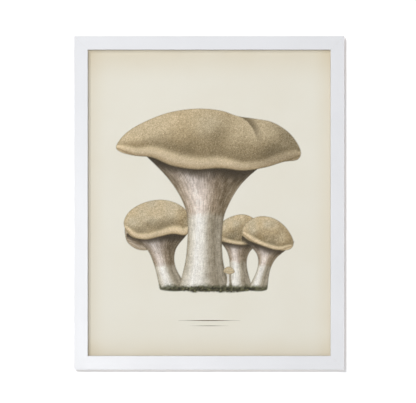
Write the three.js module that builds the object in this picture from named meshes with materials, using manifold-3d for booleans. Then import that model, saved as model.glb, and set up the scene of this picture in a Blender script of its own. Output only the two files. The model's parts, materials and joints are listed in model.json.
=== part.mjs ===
// A printed sheet in a white mitred wood frame, with the stack behind the glazing and the back hardware.
// Millimetres. +X is to the right seen from the front, +Z is up, and the front faces -Y.
// The wall plane is y = 0. The origin lies on it, midway between the points where the two hooks bear.

import * as THREE from "three";
import { mergeVertices } from "three/addons/utils/BufferGeometryUtils.js";
import Module from "manifold-3d";

const wasm = await Module();
wasm.setup();

// Sheet and frame moulding
const SHEET_WIDTH = 406;
const SHEET_HEIGHT = 508;
const SIGHT_OVERLAP = 7.5; // how far the front lip covers each edge of the sheet
const SHEET_CLEARANCE = 1; // around the sheets, inside the rebate
const FACE_WIDTH = 22;
const RAIL_DEPTH = 20;
const LIP_DEPTH = 7;
const ARRIS = 0.6; // chamfer on the long edges of the moulding
const MITRE_GAP = 0.3;

// The stack behind the lip, from the front
const GLAZING_THICKNESS = 2;
const PRINT_THICKNESS = 0.3;
const MOUNT_BOARD_THICKNESS = 1.4;
const FILLER_THICKNESS = 5;
const BACKING_THICKNESS = 3;
const STACK_GAP = 0.2;

// Back hardware
const HOOK_DROP = 100; // from the top of the frame down to the hooks
const BUMPER_HEIGHT = 6;
const BUMPER_RADIUS = 5;
const BUMPER_INSET = 22; // bumper centre from the frame's side
const SEAT_GAP = 0.1; // under hardware that sits on the wood
const FIT_CLEARANCE = 0.3; // around a shank, a pivot or a nail

const NAIL_LEG = 4;
const NAIL_THICKNESS = 0.8;
const NAIL_LENGTH = 8;
const NAIL_INSETS = { outer: 3, inner: 8 }; // apex from both outer edges of the corner

const SCREW_RADIUS = 1.5;
const SCREW_LENGTH = 11;
const SCREW_POINT = 3;
const SCREW_SIDES = 14;
const HEAD_RADIUS = 3;
const HEAD_HEIGHT = 2;

const BUTTON_THICKNESS = 1;
const BUTTON_PIVOT_RADIUS = 4.5;
const BUTTON_TIP_RADIUS = 3.2;
const BUTTON_REACH = 16; // from the screw to the tip
const RAIL_BUTTON_SPACING = 220;
const STILE_BUTTON_SPACING = 180;

const STRAP_WIDTH = 9;
const STRAP_LENGTH = 33; // from the barrel's axis to the round end
const STRAP_LEAF = 0.8; // the strap is one leaf folded double
const STRAP_HOLES = [9, 26]; // below the barrel's axis
const STRAP_INSET = 8; // strap centre line from the frame's side
const RING_WIRE_RADIUS = 1.1;
const RING_WIDTH = 15;
const RING_HEIGHT = 15; // from the pivot axis to the outside of the arch
const RING_CORNER = 1.8;
const RING_LEAN = THREE.MathUtils.degToRad(3.5); // the raised ring leans on the wood

// Worked out from the above
const FRAME_WIDTH = SHEET_WIDTH - 2 * SIGHT_OVERLAP + 2 * FACE_WIDTH;
const FRAME_HEIGHT = SHEET_HEIGHT - 2 * SIGHT_OVERLAP + 2 * FACE_WIDTH;
const BACK_WIDTH = FACE_WIDTH - SIGHT_OVERLAP - SHEET_CLEARANCE;
const BACK_Y = -BUMPER_HEIGHT;
const FRONT_Y = BACK_Y - RAIL_DEPTH;
const CENTRE_Z = HOOK_DROP - FRAME_HEIGHT / 2;
const SEAT_Y = BACK_Y + SEAT_GAP;
const BARREL_BORE = RING_WIRE_RADIUS + FIT_CLEARANCE;
const BARREL_RADIUS = BARREL_BORE + STRAP_LEAF;
const BARREL_Y = SEAT_Y + BARREL_RADIUS;
const RING_INSIDE = RING_HEIGHT - 2 * RING_WIRE_RADIUS;
const BARREL_Z = -RING_INSIDE * Math.cos(RING_LEAN);
const STRAP_X = FRAME_WIDTH / 2 - STRAP_INSET;
const BUTTON_SCREW_SEAT = SEAT_Y + BUTTON_THICKNESS + SEAT_GAP;
const STRAP_SCREW_SEAT = SEAT_Y + 2 * STRAP_LEAF + SEAT_GAP;

const whitePaint = new THREE.MeshStandardMaterial({ color: 0xf1f1f3, roughness: 0.45, metalness: 0 });
const clearSheet = new THREE.MeshStandardMaterial({
  color: 0xffffff,
  roughness: 0.03,
  metalness: 0,
  transparent: true,
  opacity: 0.15,
});
const agedPaper = new THREE.MeshStandardMaterial({ color: 0xe4ded0, roughness: 0.9, metalness: 0 });
const whiteCard = new THREE.MeshStandardMaterial({ color: 0xe9e5dc, roughness: 0.9, metalness: 0 });
const foamCard = new THREE.MeshStandardMaterial({ color: 0xf4f4f2, roughness: 0.8, metalness: 0 });
const hardboard = new THREE.MeshStandardMaterial({ color: 0x8a6446, roughness: 0.75, metalness: 0 });
const nickelSteel = new THREE.MeshStandardMaterial({ color: 0xbfbdb8, roughness: 0.3, metalness: 1 });
const darkSteel = new THREE.MeshStandardMaterial({ color: 0x77777a, roughness: 0.45, metalness: 1 });
const clearRubber = new THREE.MeshStandardMaterial({ color: 0x3a3a3c, roughness: 0.6, metalness: 0 });

// The four corners and the four sides, each with its turn about Y from the lower left or the bottom.
const CORNERS = [
  { name: "bottom_left", x: -1, z: -1, turn: 0 },
  { name: "top_left", x: -1, z: 1, turn: 1 },
  { name: "top_right", x: 1, z: 1, turn: 2 },
  { name: "bottom_right", x: 1, z: -1, turn: 3 },
];
const SIDES = [
  { name: "bottom_rail", turn: 0, length: FRAME_WIDTH, reach: FRAME_HEIGHT / 2 },
  { name: "left_stile", turn: 1, length: FRAME_HEIGHT, reach: FRAME_WIDTH / 2 },
  { name: "top_rail", turn: 2, length: FRAME_WIDTH, reach: FRAME_HEIGHT / 2 },
  { name: "right_stile", turn: 3, length: FRAME_HEIGHT, reach: FRAME_WIDTH / 2 },
];
const QUARTER = Math.PI / 2;

// A three.js geometry as a solid that can be cut and joined.
function solid(geometry) {
  const bare = geometry.index ? geometry.toNonIndexed() : geometry.clone();
  bare.deleteAttribute("normal");
  bare.deleteAttribute("uv");
  const merged = mergeVertices(bare, 1e-4);
  const mesh = new wasm.Mesh({
    numProp: 3,
    vertProperties: merged.attributes.position.array,
    triVerts: new Uint32Array(merged.index.array),
  });
  return new wasm.Manifold(mesh);
}

// A solid back as a three.js geometry.
function geometryOf(piece) {
  const mesh = piece.getMesh();
  const geometry = new THREE.BufferGeometry();
  geometry.setAttribute("position", new THREE.BufferAttribute(mesh.vertProperties, 3));
  geometry.setIndex(new THREE.BufferAttribute(mesh.triVerts, 1));
  return geometry;
}

// A flat piece: an outline in X and Z, with its back face at y = backY.
function plate(outline, thickness, backY) {
  const geometry = new THREE.ExtrudeGeometry(outline, {
    depth: thickness,
    bevelEnabled: false,
    curveSegments: 10,
  });
  return geometry.rotateX(QUARTER).translate(0, backY, 0);
}

// A round hole in an outline. The last point of the full turn repeats the first, so it is dropped.
function roundHole(x, z, radius) {
  const rim = new THREE.Path().absarc(x, z, radius, 0, 2 * Math.PI, true).getPoints(10);
  return new THREE.Path(rim.slice(0, -1));
}

// A round drill along Y, from its mouth at y = mouthY towards the front.
function drill(x, z, radius, depth, mouthY) {
  return new THREE.CylinderGeometry(radius, radius, depth, SCREW_SIDES).translate(x, mouthY - depth / 2, z);
}

// One mitred length of moulding, lying along X below the frame's centre, outer edge down.
function mouldingGeometry(length, reach) {
  const profile = new THREE.Shape([
    new THREE.Vector2(ARRIS, 0),
    new THREE.Vector2(FACE_WIDTH - ARRIS, 0),
    new THREE.Vector2(FACE_WIDTH, ARRIS),
    new THREE.Vector2(FACE_WIDTH, LIP_DEPTH),
    new THREE.Vector2(BACK_WIDTH, LIP_DEPTH),
    new THREE.Vector2(BACK_WIDTH, RAIL_DEPTH),
    new THREE.Vector2(ARRIS, RAIL_DEPTH),
    new THREE.Vector2(0, RAIL_DEPTH - ARRIS),
    new THREE.Vector2(0, ARRIS),
  ]);
  const geometry = new THREE.ExtrudeGeometry(profile, { depth: length, bevelEnabled: false });
  const place = geometry.attributes.position;
  const mitreInset = (MITRE_GAP / 2) * Math.SQRT2;
  for (let i = 0; i < place.count; i++) {
    const across = place.getX(i);
    const nearEnd = place.getZ(i) < length / 2;
    place.setZ(i, nearEnd ? across + mitreInset : length - across - mitreInset);
  }
  // across -> Z, depth -> Y, length -> -X
  const turned = new THREE.Matrix4().makeBasis(
    new THREE.Vector3(0, 0, 1),
    new THREE.Vector3(0, 1, 0),
    new THREE.Vector3(-1, 0, 0),
  );
  return geometry.applyMatrix4(turned).translate(length / 2, FRONT_Y, -reach);
}

// The V-nail's section, grown all round for the slot that it is driven into.
function nailSection(grow) {
  const inside = NAIL_THICKNESS + grow;
  const end = NAIL_LEG + grow;
  return new THREE.Shape([
    new THREE.Vector2(-grow, -grow),
    new THREE.Vector2(end, -grow),
    new THREE.Vector2(end, inside),
    new THREE.Vector2(inside, inside),
    new THREE.Vector2(inside, end),
    new THREE.Vector2(-grow, end),
  ]);
}

// Pan-head screw along Y with the underside of its head at y = 0.
function screwGeometry() {
  const profile = [
    new THREE.Vector2(0, -SCREW_LENGTH),
    new THREE.Vector2(SCREW_RADIUS, -SCREW_LENGTH + SCREW_POINT),
    new THREE.Vector2(SCREW_RADIUS, 0),
    new THREE.Vector2(HEAD_RADIUS, 0),
    new THREE.Vector2(HEAD_RADIUS, HEAD_HEIGHT * 0.4),
    new THREE.Vector2(HEAD_RADIUS * 0.85, HEAD_HEIGHT * 0.8),
    new THREE.Vector2(HEAD_RADIUS * 0.55, HEAD_HEIGHT),
    new THREE.Vector2(0, HEAD_HEIGHT),
  ];
  return new THREE.LatheGeometry(profile, SCREW_SIDES);
}

// Turn button: a pear-shaped plate with its pivot hole at the origin and its tip towards +Z.
function turnButtonGeometry() {
  const tipCentre = BUTTON_REACH - BUTTON_TIP_RADIUS;
  const slope = Math.asin((BUTTON_PIVOT_RADIUS - BUTTON_TIP_RADIUS) / tipCentre);
  const outline = new THREE.Shape();
  outline.absarc(0, tipCentre, BUTTON_TIP_RADIUS, slope, Math.PI - slope, false);
  outline.absarc(0, 0, BUTTON_PIVOT_RADIUS, Math.PI - slope, 2 * Math.PI + slope, false);
  outline.holes.push(roundHole(0, 0, SCREW_RADIUS + FIT_CLEARANCE));
  return plate(outline, BUTTON_THICKNESS, SEAT_Y + BUTTON_THICKNESS);
}

// Hanger strap: a doubled leaf with two screw holes and a barrel for the ring along its top.
function hangerStrapGeometry() {
  const half = STRAP_WIDTH / 2;
  const outline = new THREE.Shape();
  outline.moveTo(half, 0);
  outline.lineTo(-half, 0);
  outline.absarc(0, half - STRAP_LENGTH, half, Math.PI, 2 * Math.PI, false);
  for (const drop of STRAP_HOLES) {
    outline.holes.push(roundHole(0, -drop, SCREW_RADIUS + FIT_CLEARANCE));
  }
  const leaf = solid(plate(outline, 2 * STRAP_LEAF, SEAT_Y + 2 * STRAP_LEAF));
  const barrel = new THREE.CylinderGeometry(BARREL_RADIUS, BARREL_RADIUS, STRAP_WIDTH, 24);
  const bore = new THREE.CylinderGeometry(BARREL_BORE, BARREL_BORE, 2 * STRAP_WIDTH, 20);
  for (const round of [barrel, bore]) {
    round.rotateZ(QUARTER).translate(0, BARREL_Y, 0);
  }
  return geometryOf(leaf.add(solid(barrel)).subtract(solid(bore)));
}

// D-ring: one bent wire, whose two ends meet inside the barrel. Its pivot is the X axis.
function hangerRingGeometry() {
  const side = RING_WIDTH / 2 - RING_WIRE_RADIUS;
  const archCentre = RING_HEIGHT - RING_WIRE_RADIUS - side;
  const end = FIT_CLEARANCE / 2;
  const bend = new THREE.Path();
  bend.moveTo(end, 0);
  bend.lineTo(side - RING_CORNER, 0);
  bend.absarc(side - RING_CORNER, RING_CORNER, RING_CORNER, -QUARTER, 0, false);
  bend.absarc(0, archCentre, side, 0, Math.PI, false);
  bend.absarc(RING_CORNER - side, RING_CORNER, RING_CORNER, Math.PI, 3 * QUARTER, false);
  bend.lineTo(-end, 0);
  const steps = 56;
  const route = bend.getSpacedPoints(steps).map((p) => new THREE.Vector3(p.x, 0, p.y));
  const section = new THREE.Shape().absarc(0, 0, RING_WIRE_RADIUS, 0, 2 * Math.PI, false);
  return new THREE.ExtrudeGeometry(section, {
    steps,
    curveSegments: 6,
    extrudePath: new THREE.CatmullRomCurve3(route),
  });
}

// Rubber bumper: a low cone frustum along Y with a flat face on the wall plane.
function bumperGeometry() {
  const profile = [
    new THREE.Vector2(0, SEAT_Y),
    new THREE.Vector2(BUMPER_RADIUS, SEAT_Y),
    new THREE.Vector2(BUMPER_RADIUS, SEAT_Y + BUMPER_HEIGHT * 0.25),
    new THREE.Vector2(BUMPER_RADIUS * 0.92, -BUMPER_HEIGHT * 0.12),
    new THREE.Vector2(BUMPER_RADIUS * 0.82, 0),
    new THREE.Vector2(0, 0),
  ];
  return new THREE.LatheGeometry(profile, 24);
}

const group = new THREE.Group();

function place(name, geometry, material, x = 0, y = 0, z = 0, turn = 0) {
  const mesh = new THREE.Mesh(geometry, material);
  mesh.name = name;
  mesh.position.set(x, y, z);
  mesh.rotation.y = turn * QUARTER;
  group.add(mesh);
  return mesh;
}

// Where the turn buttons pivot, each with the turn that points its tip at the middle of the frame.
function turnButtonPlaces() {
  const railZ = (FRAME_HEIGHT - BACK_WIDTH) / 2;
  const stileX = (FRAME_WIDTH - BACK_WIDTH) / 2;
  const places = [];
  for (const [side, sign] of [["left", -1], ["right", 1]]) {
    const railX = (sign * RAIL_BUTTON_SPACING) / 2;
    places.push({ name: `bottom_${side}`, x: railX, z: CENTRE_Z - railZ, turn: 0 });
    places.push({ name: `top_${side}`, x: railX, z: CENTRE_Z + railZ, turn: 2 });
    const stileTurn = sign < 0 ? 1 : 3;
    const rise = STILE_BUTTON_SPACING / 2;
    places.push({ name: `${side}_upper`, x: sign * stileX, z: CENTRE_Z + rise, turn: stileTurn });
    places.push({ name: `${side}_lower`, x: sign * stileX, z: CENTRE_Z - rise, turn: stileTurn });
  }
  return places;
}

// Where each V-nail's apex is, with the turn of its corner.
function nailPlaces() {
  const places = [];
  for (const corner of CORNERS) {
    for (const [row, inset] of Object.entries(NAIL_INSETS)) {
      places.push({
        name: `v_nail_${corner.name}_${row}`,
        x: corner.x * (FRAME_WIDTH / 2 - inset),
        z: CENTRE_Z + corner.z * (FRAME_HEIGHT / 2 - inset),
        turn: corner.turn,
      });
    }
  }
  return places;
}

// Where the hanger screws go, on both stiles.
function hangerScrewPlaces() {
  const places = [];
  for (const [side, sign] of [["left", -1], ["right", 1]]) {
    for (const [row, drop] of [["upper", STRAP_HOLES[0]], ["lower", STRAP_HOLES[1]]]) {
      places.push({ name: `hanger_screw_${side}_${row}`, x: sign * STRAP_X, z: BARREL_Z - drop });
    }
  }
  return places;
}

// Every slot and pilot hole that the back of the moulding holds.
function cutouts() {
  const tools = [];
  for (const nail of nailPlaces()) {
    const slot = plate(nailSection(FIT_CLEARANCE), NAIL_LENGTH + FIT_CLEARANCE + 1, 1);
    slot.rotateY(nail.turn * QUARTER).translate(nail.x, BACK_Y, nail.z);
    tools.push(slot);
  }
  const pilotRadius = SCREW_RADIUS + FIT_CLEARANCE;
  for (const spot of [...turnButtonPlaces(), ...hangerScrewPlaces()]) {
    tools.push(drill(spot.x, spot.z, pilotRadius, SCREW_LENGTH + 1, BACK_Y + 1));
  }
  return tools.map(solid).reduce((all, tool) => all.add(tool));
}

function addMoulding() {
  const tools = cutouts();
  for (const side of SIDES) {
    const length = mouldingGeometry(side.length, side.reach);
    length.rotateY(side.turn * QUARTER).translate(0, 0, CENTRE_Z);
    place(side.name, geometryOf(solid(length).subtract(tools)), whitePaint);
  }
}

function addStack() {
  const stack = [
    ["glazing", GLAZING_THICKNESS, clearSheet],
    ["print_sheet", PRINT_THICKNESS, agedPaper],
    ["mount_board", MOUNT_BOARD_THICKNESS, whiteCard],
    ["filler_board", FILLER_THICKNESS, foamCard],
    ["backing_board", BACKING_THICKNESS, hardboard],
  ];
  let frontY = FRONT_Y + LIP_DEPTH;
  for (const [name, thickness, material] of stack) {
    frontY += STACK_GAP;
    const sheet = new THREE.BoxGeometry(SHEET_WIDTH, thickness, SHEET_HEIGHT);
    place(name, sheet, material, 0, frontY + thickness / 2, CENTRE_Z);
    frontY += thickness;
  }
}

function addNails() {
  const nail = plate(nailSection(0), NAIL_LENGTH, BACK_Y);
  for (const spot of nailPlaces()) {
    place(spot.name, nail, darkSteel, spot.x, 0, spot.z, spot.turn);
  }
}

function addTurnButtons() {
  const button = turnButtonGeometry();
  const screw = screwGeometry();
  for (const spot of turnButtonPlaces()) {
    place(`turn_button_${spot.name}`, button, nickelSteel, spot.x, 0, spot.z, spot.turn);
    place(`turn_button_screw_${spot.name}`, screw, nickelSteel, spot.x, BUTTON_SCREW_SEAT, spot.z);
  }
}

function addHangers() {
  const strap = hangerStrapGeometry();
  const ring = hangerRingGeometry();
  for (const [side, sign] of [["left", -1], ["right", 1]]) {
    place(`hanger_strap_${side}`, strap, nickelSteel, sign * STRAP_X, 0, BARREL_Z);
    const raised = place(`hanger_ring_${side}`, ring, nickelSteel, sign * STRAP_X, BARREL_Y, BARREL_Z);
    raised.rotation.x = RING_LEAN;
  }
  const screw = screwGeometry();
  for (const spot of hangerScrewPlaces()) {
    place(spot.name, screw, nickelSteel, spot.x, STRAP_SCREW_SEAT, spot.z);
  }
}

function addBumpers() {
  const bumper = bumperGeometry();
  const z = CENTRE_Z - (FRAME_HEIGHT - BACK_WIDTH) / 2;
  for (const [side, sign] of [["left", -1], ["right", 1]]) {
    place(`bumper_${side}`, bumper, clearRubber, sign * (FRAME_WIDTH / 2 - BUMPER_INSET), 0, z);
  }
}

addMoulding();
addStack();
addNails();
addTurnButtons();
addHangers();
addBumpers();

export default group;
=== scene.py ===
"""Builds a framed botanical print: moulding, drawn sheet, glazed stack and back hardware."""

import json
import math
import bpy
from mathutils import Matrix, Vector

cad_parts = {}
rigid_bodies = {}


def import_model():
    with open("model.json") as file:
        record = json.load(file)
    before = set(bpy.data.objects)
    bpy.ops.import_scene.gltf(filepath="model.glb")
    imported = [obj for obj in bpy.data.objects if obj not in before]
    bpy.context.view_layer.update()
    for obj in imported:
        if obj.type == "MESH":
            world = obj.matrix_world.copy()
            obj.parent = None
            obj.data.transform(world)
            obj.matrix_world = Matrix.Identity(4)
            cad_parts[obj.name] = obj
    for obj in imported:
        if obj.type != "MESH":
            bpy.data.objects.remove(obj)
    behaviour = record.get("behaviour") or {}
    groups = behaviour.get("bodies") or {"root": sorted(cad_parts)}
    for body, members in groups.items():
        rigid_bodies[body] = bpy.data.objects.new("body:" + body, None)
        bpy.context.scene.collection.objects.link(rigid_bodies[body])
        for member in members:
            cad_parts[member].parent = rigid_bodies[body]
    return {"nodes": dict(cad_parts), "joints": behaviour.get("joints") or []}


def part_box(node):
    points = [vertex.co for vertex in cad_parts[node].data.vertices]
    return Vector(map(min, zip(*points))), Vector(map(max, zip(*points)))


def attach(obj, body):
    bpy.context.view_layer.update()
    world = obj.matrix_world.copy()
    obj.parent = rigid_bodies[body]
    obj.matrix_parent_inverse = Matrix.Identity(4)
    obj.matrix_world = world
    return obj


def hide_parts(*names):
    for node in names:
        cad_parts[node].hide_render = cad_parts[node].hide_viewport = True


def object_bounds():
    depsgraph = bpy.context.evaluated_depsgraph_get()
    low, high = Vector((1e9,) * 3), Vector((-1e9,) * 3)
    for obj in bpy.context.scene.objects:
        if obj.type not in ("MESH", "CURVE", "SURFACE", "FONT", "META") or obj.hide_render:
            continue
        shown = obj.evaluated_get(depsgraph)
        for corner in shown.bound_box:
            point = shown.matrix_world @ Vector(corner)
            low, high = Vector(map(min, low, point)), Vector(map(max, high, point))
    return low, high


bl_info = {
    "name": "Framed botanical print",
    "version": (1, 0, 0),
    "blender": (4, 5, 0),
    "location": "3D View > Sidebar > Framed Print",
    "description": "Builds a white mitred frame, its drawn mushroom sheet and its back hardware",
    "category": "Object",
}

import bmesh
import bpy
import numpy as np
from bpy.props import FloatProperty, FloatVectorProperty, IntProperty, PointerProperty
from mathutils import Matrix, Vector

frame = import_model()
MODEL_LOW, MODEL_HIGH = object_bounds()

MM = 0.001
BODY = "frame"
SIDES = ("left", "right")
RAILS = ("bottom_rail", "left_stile", "top_rail", "right_stile")
BUTTON_SPOTS = (
    "top_left",
    "top_right",
    "bottom_left",
    "bottom_right",
    "left_upper",
    "left_lower",
    "right_upper",
    "right_lower",
)

FLOAT = "NodeSocketFloat"
VECTOR = "NodeSocketVector"

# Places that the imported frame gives, in metres
SHEET_LOW, SHEET_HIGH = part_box("print_sheet")
CENTRE_Z = (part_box("bottom_rail")[0].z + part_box("top_rail")[1].z) / 2
BACK_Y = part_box("bottom_rail")[1].y
FRONT_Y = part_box("bottom_rail")[0].y
FRAME_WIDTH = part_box("right_stile")[1].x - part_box("left_stile")[0].x
FRAME_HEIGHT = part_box("top_rail")[1].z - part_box("bottom_rail")[0].z
FACE_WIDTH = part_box("bottom_rail")[1].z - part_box("bottom_rail")[0].z
LIP_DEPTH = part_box("glazing")[0].y - FRONT_Y - 0.2 * MM
RAIL_DEPTH = BACK_Y - FRONT_Y
REBATE_CLEARANCE = 1 * MM
BACK_WIDTH = (FRAME_WIDTH - (SHEET_HIGH.x - SHEET_LOW.x)) / 2 - REBATE_CLEARANCE
OPENING_HALF_WIDTH = FRAME_WIDTH / 2 - FACE_WIDTH
OPENING_HALF_HEIGHT = FRAME_HEIGHT / 2 - FACE_WIDTH

# Small sizes of the moulding and the hardware
NAIL_CLEARANCE = 0.3 * MM
NAIL_SLOT_DEPTH = 0.3 * MM
WIRE_SIDES = 14
BUMPER_SIDES = 40
BUMPER_FOOT_ROUND = 0.4 * MM
BUMPER_FACE = 0.82  # width of a bumper's contact face, as a share of its foot
BORE_SIDES = 24
BORE_LENGTH = 8 * MM

# The printed drawing, in millimetres from the sheet's middle
DRAWING_ACROSS = (-155, 155)
DRAWING_UP = (-152, 156)
RULE_LINES = ((-190.0, 100.0, 1.5), (-198.5, 62.0, 0.9))  # height on the sheet, length, thickness
RULE_STEPS = 40
RULE_ENDS = 0.16  # thickness of a rule's ends, as a share of its middle

# The drawing's light (across, out of the sheet, up), and its inks as screen colours of 0 to 255
LIGHT = np.array((-0.36, 0.78, 0.46))
PRINT_DENSITY = 0.94
CONTOUR_INK = (84, 72, 50)
SHADOW_INK = (50, 41, 29)
SEAM_INK = (112, 97, 68)
FOLD_LIGHT_INK = (216, 198, 164)
MOSS_INK = (62, 64, 42)

# From shade to light
CAP_TONES = (
    (0.1, (80, 69, 48)),
    (0.35, (113, 98, 70)),
    (0.55, (141, 124, 92)),
    (0.72, (162, 144, 110)),
    (0.84, (182, 164, 130)),
    (0.97, (206, 188, 154)),
)
MOSS_TONES = ((-1.0, (22, 23, 15)), (0.0, (60, 61, 41)), (1.0, (128, 126, 88)))

# From a cap's lower edge up across its rolled rim
RIM_TONES = (
    (0.0, (152, 132, 98)),
    (0.12, (196, 173, 136)),
    (0.35, (224, 203, 168)),
    (0.65, (219, 199, 163)),
    (1.0, (178, 160, 125)),
)

# From well inside a tilted cap's underside to its edge
UNDERSIDE_TONES = (
    (0.0, (104, 89, 68)),
    (0.45, (146, 129, 107)),
    (0.8, (200, 184, 162)),
    (1.0, (188, 170, 143)),
)

# From the left edge of a stem to its right edge
GILL_TONES = (
    (-1.0, (132, 116, 93)),
    (-0.75, (186, 169, 150)),
    (-0.4, (230, 217, 207)),
    (-0.1, (212, 197, 184)),
    (0.3, (152, 134, 111)),
    (0.65, (120, 104, 81)),
    (1.0, (146, 130, 106)),
)
STEM_TONES = (
    (-1.0, (166, 155, 133)),
    (-0.8, (214, 206, 189)),
    (-0.45, (243, 239, 231)),
    (-0.1, (231, 226, 215)),
    (0.25, (176, 165, 145)),
    (0.5, (148, 137, 116)),
    (0.8, (170, 160, 141)),
    (1.0, (118, 107, 86)),
)

# How much of the gills' tone is left, from the cap's edge down to their end
GILL_SHADE = ((0.0, (0.6,) * 3), (0.2, (0.86,) * 3), (0.55, (1.0,) * 3), (1.0, (1.03,) * 3))

# Stage, in metres, with the lights placed from the middle of the frame's face
WALL_REACH = 1.3
WALL_GAP = 0.4 * MM
FLOOR_REACH = 5.0
FLOOR_Z = -1.6
KEY_PLACE = Vector((-3.1, -6.0, 3.1))
FRONT_PLACE = Vector((-0.36, -2.9, 0.44))
SHEEN_PLACE = Vector((-0.44, -1.6, -0.32))
BACK_PLACE = Vector((1.2, 2.6, 1.2))
BACK_SIZE = 1.6
BACK_TINT = (0.84, 0.92, 1.0)
ROOM_TINT = (0.95, 0.97, 1.0, 1.0)
LENS = 160.0  # focal length and sensor width, in millimetres
SENSOR = 36.0


# ---------------------------------------------------------------- colours and meshes


def colour(red, green, blue):
    """A screen colour of 0 to 255 as linear RGBA."""
    channels = [
        value / 12.92 if value <= 0.04045 else ((value + 0.055) / 1.055) ** 2.4
        for value in (red / 255, green / 255, blue / 255)
    ]
    return (*channels, 1.0)


def new_object(name, mesh, material=None):
    """A mesh object at the origin, in the scene."""
    if material:
        mesh.materials.append(material)
    obj = bpy.data.objects.new(name, mesh)
    bpy.context.scene.collection.objects.link(obj)
    return obj


def mesh_object(name, vertices, faces, material=None):
    """A new mesh object from its vertices and faces."""
    mesh = bpy.data.meshes.new(name)
    mesh.from_pydata([tuple(v) for v in vertices], [], faces)
    mesh.validate()
    return new_object(name, mesh, material)


def bmesh_object(name, shape, material=None):
    """A new mesh object from a bmesh, with its faces turned outwards."""
    bmesh.ops.recalc_face_normals(shape, faces=shape.faces)
    mesh = bpy.data.meshes.new(name)
    shape.to_mesh(mesh)
    shape.free()
    return new_object(name, mesh, material)


def close_prism(shape, first, second):
    """Two end faces and the sides between two like rims of points."""
    shape.faces.new(first)
    shape.faces.new(list(reversed(second)))
    for i in range(len(first)):
        j = (i + 1) % len(first)
        shape.faces.new((first[i], second[i], second[j], first[j]))


def prism(shape, outline, front, back):
    """A straight-sided solid between two depths, over an outline of (x, z) points."""
    close_prism(shape, *([shape.verts.new((x, y, z)) for x, z in outline] for y in (front, back)))


def ring_band(shape, lower, upper):
    """Faces between two rings of points, either of which may be a single point."""
    count = max(len(lower), len(upper))
    for k in range(count):
        m = (k + 1) % count
        if len(lower) == 1:
            shape.faces.new((lower[0], upper[k], upper[m]))
        elif len(upper) == 1:
            shape.faces.new((lower[k], upper[0], lower[m]))
        else:
            shape.faces.new((lower[k], upper[k], upper[m], lower[m]))


def apply_modifiers(obj):
    """Replaces an object's mesh with the one that its modifiers make."""
    graph = bpy.context.evaluated_depsgraph_get()
    made = bpy.data.meshes.new_from_object(obj.evaluated_get(graph))
    obj.modifiers.clear()
    obj.data = made
    return obj


def cut_with(obj, tool):
    """Subtracts tool from obj and removes tool."""
    cut = obj.modifiers.new("Cut", "BOOLEAN")
    cut.operation = "DIFFERENCE"
    cut.solver = "EXACT"
    cut.object = tool
    apply_modifiers(obj)
    bpy.data.objects.remove(tool)
    return obj


def smooth_edges(obj, angle=35):
    """Shades an object smooth, keeps its sharp edges and lets its wide faces stay flat."""
    obj.data.shade_smooth()
    obj.data.set_sharp_from_angle(angle=math.radians(angle))
    weighted = obj.modifiers.new("Face weight", "WEIGHTED_NORMAL")
    weighted.keep_sharp = True
    return apply_modifiers(obj)


def soften(obj, width, segments=2):
    """Bevels an object's edges."""
    bevel = obj.modifiers.new("Arris", "BEVEL")
    bevel.width = width
    bevel.segments = segments
    bevel.limit_method = "ANGLE"
    bevel.angle_limit = math.radians(40)
    bevel.use_clamp_overlap = True
    apply_modifiers(obj)
    return smooth_edges(obj)


def on_body(obj, body, slot, *nodes):
    """Puts a finished piece on its body and hides the model nodes that it stands for."""
    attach(obj, body)
    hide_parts(*nodes)
    return obj


def dress(node, material):
    """Gives a model node that keeps its own shape a finished material."""
    obj = frame["nodes"][node]
    obj.data.materials.clear()
    obj.data.materials.append(material)


def arc(centre, radius, start, end, steps):
    """Points on an arc, from start to end in degrees."""
    angles = [math.radians(start + (end - start) * i / steps) for i in range(steps + 1)]
    return [(centre[0] + radius * math.cos(a), centre[1] + radius * math.sin(a)) for a in angles]


# ---------------------------------------------------------------- shader helpers


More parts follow.
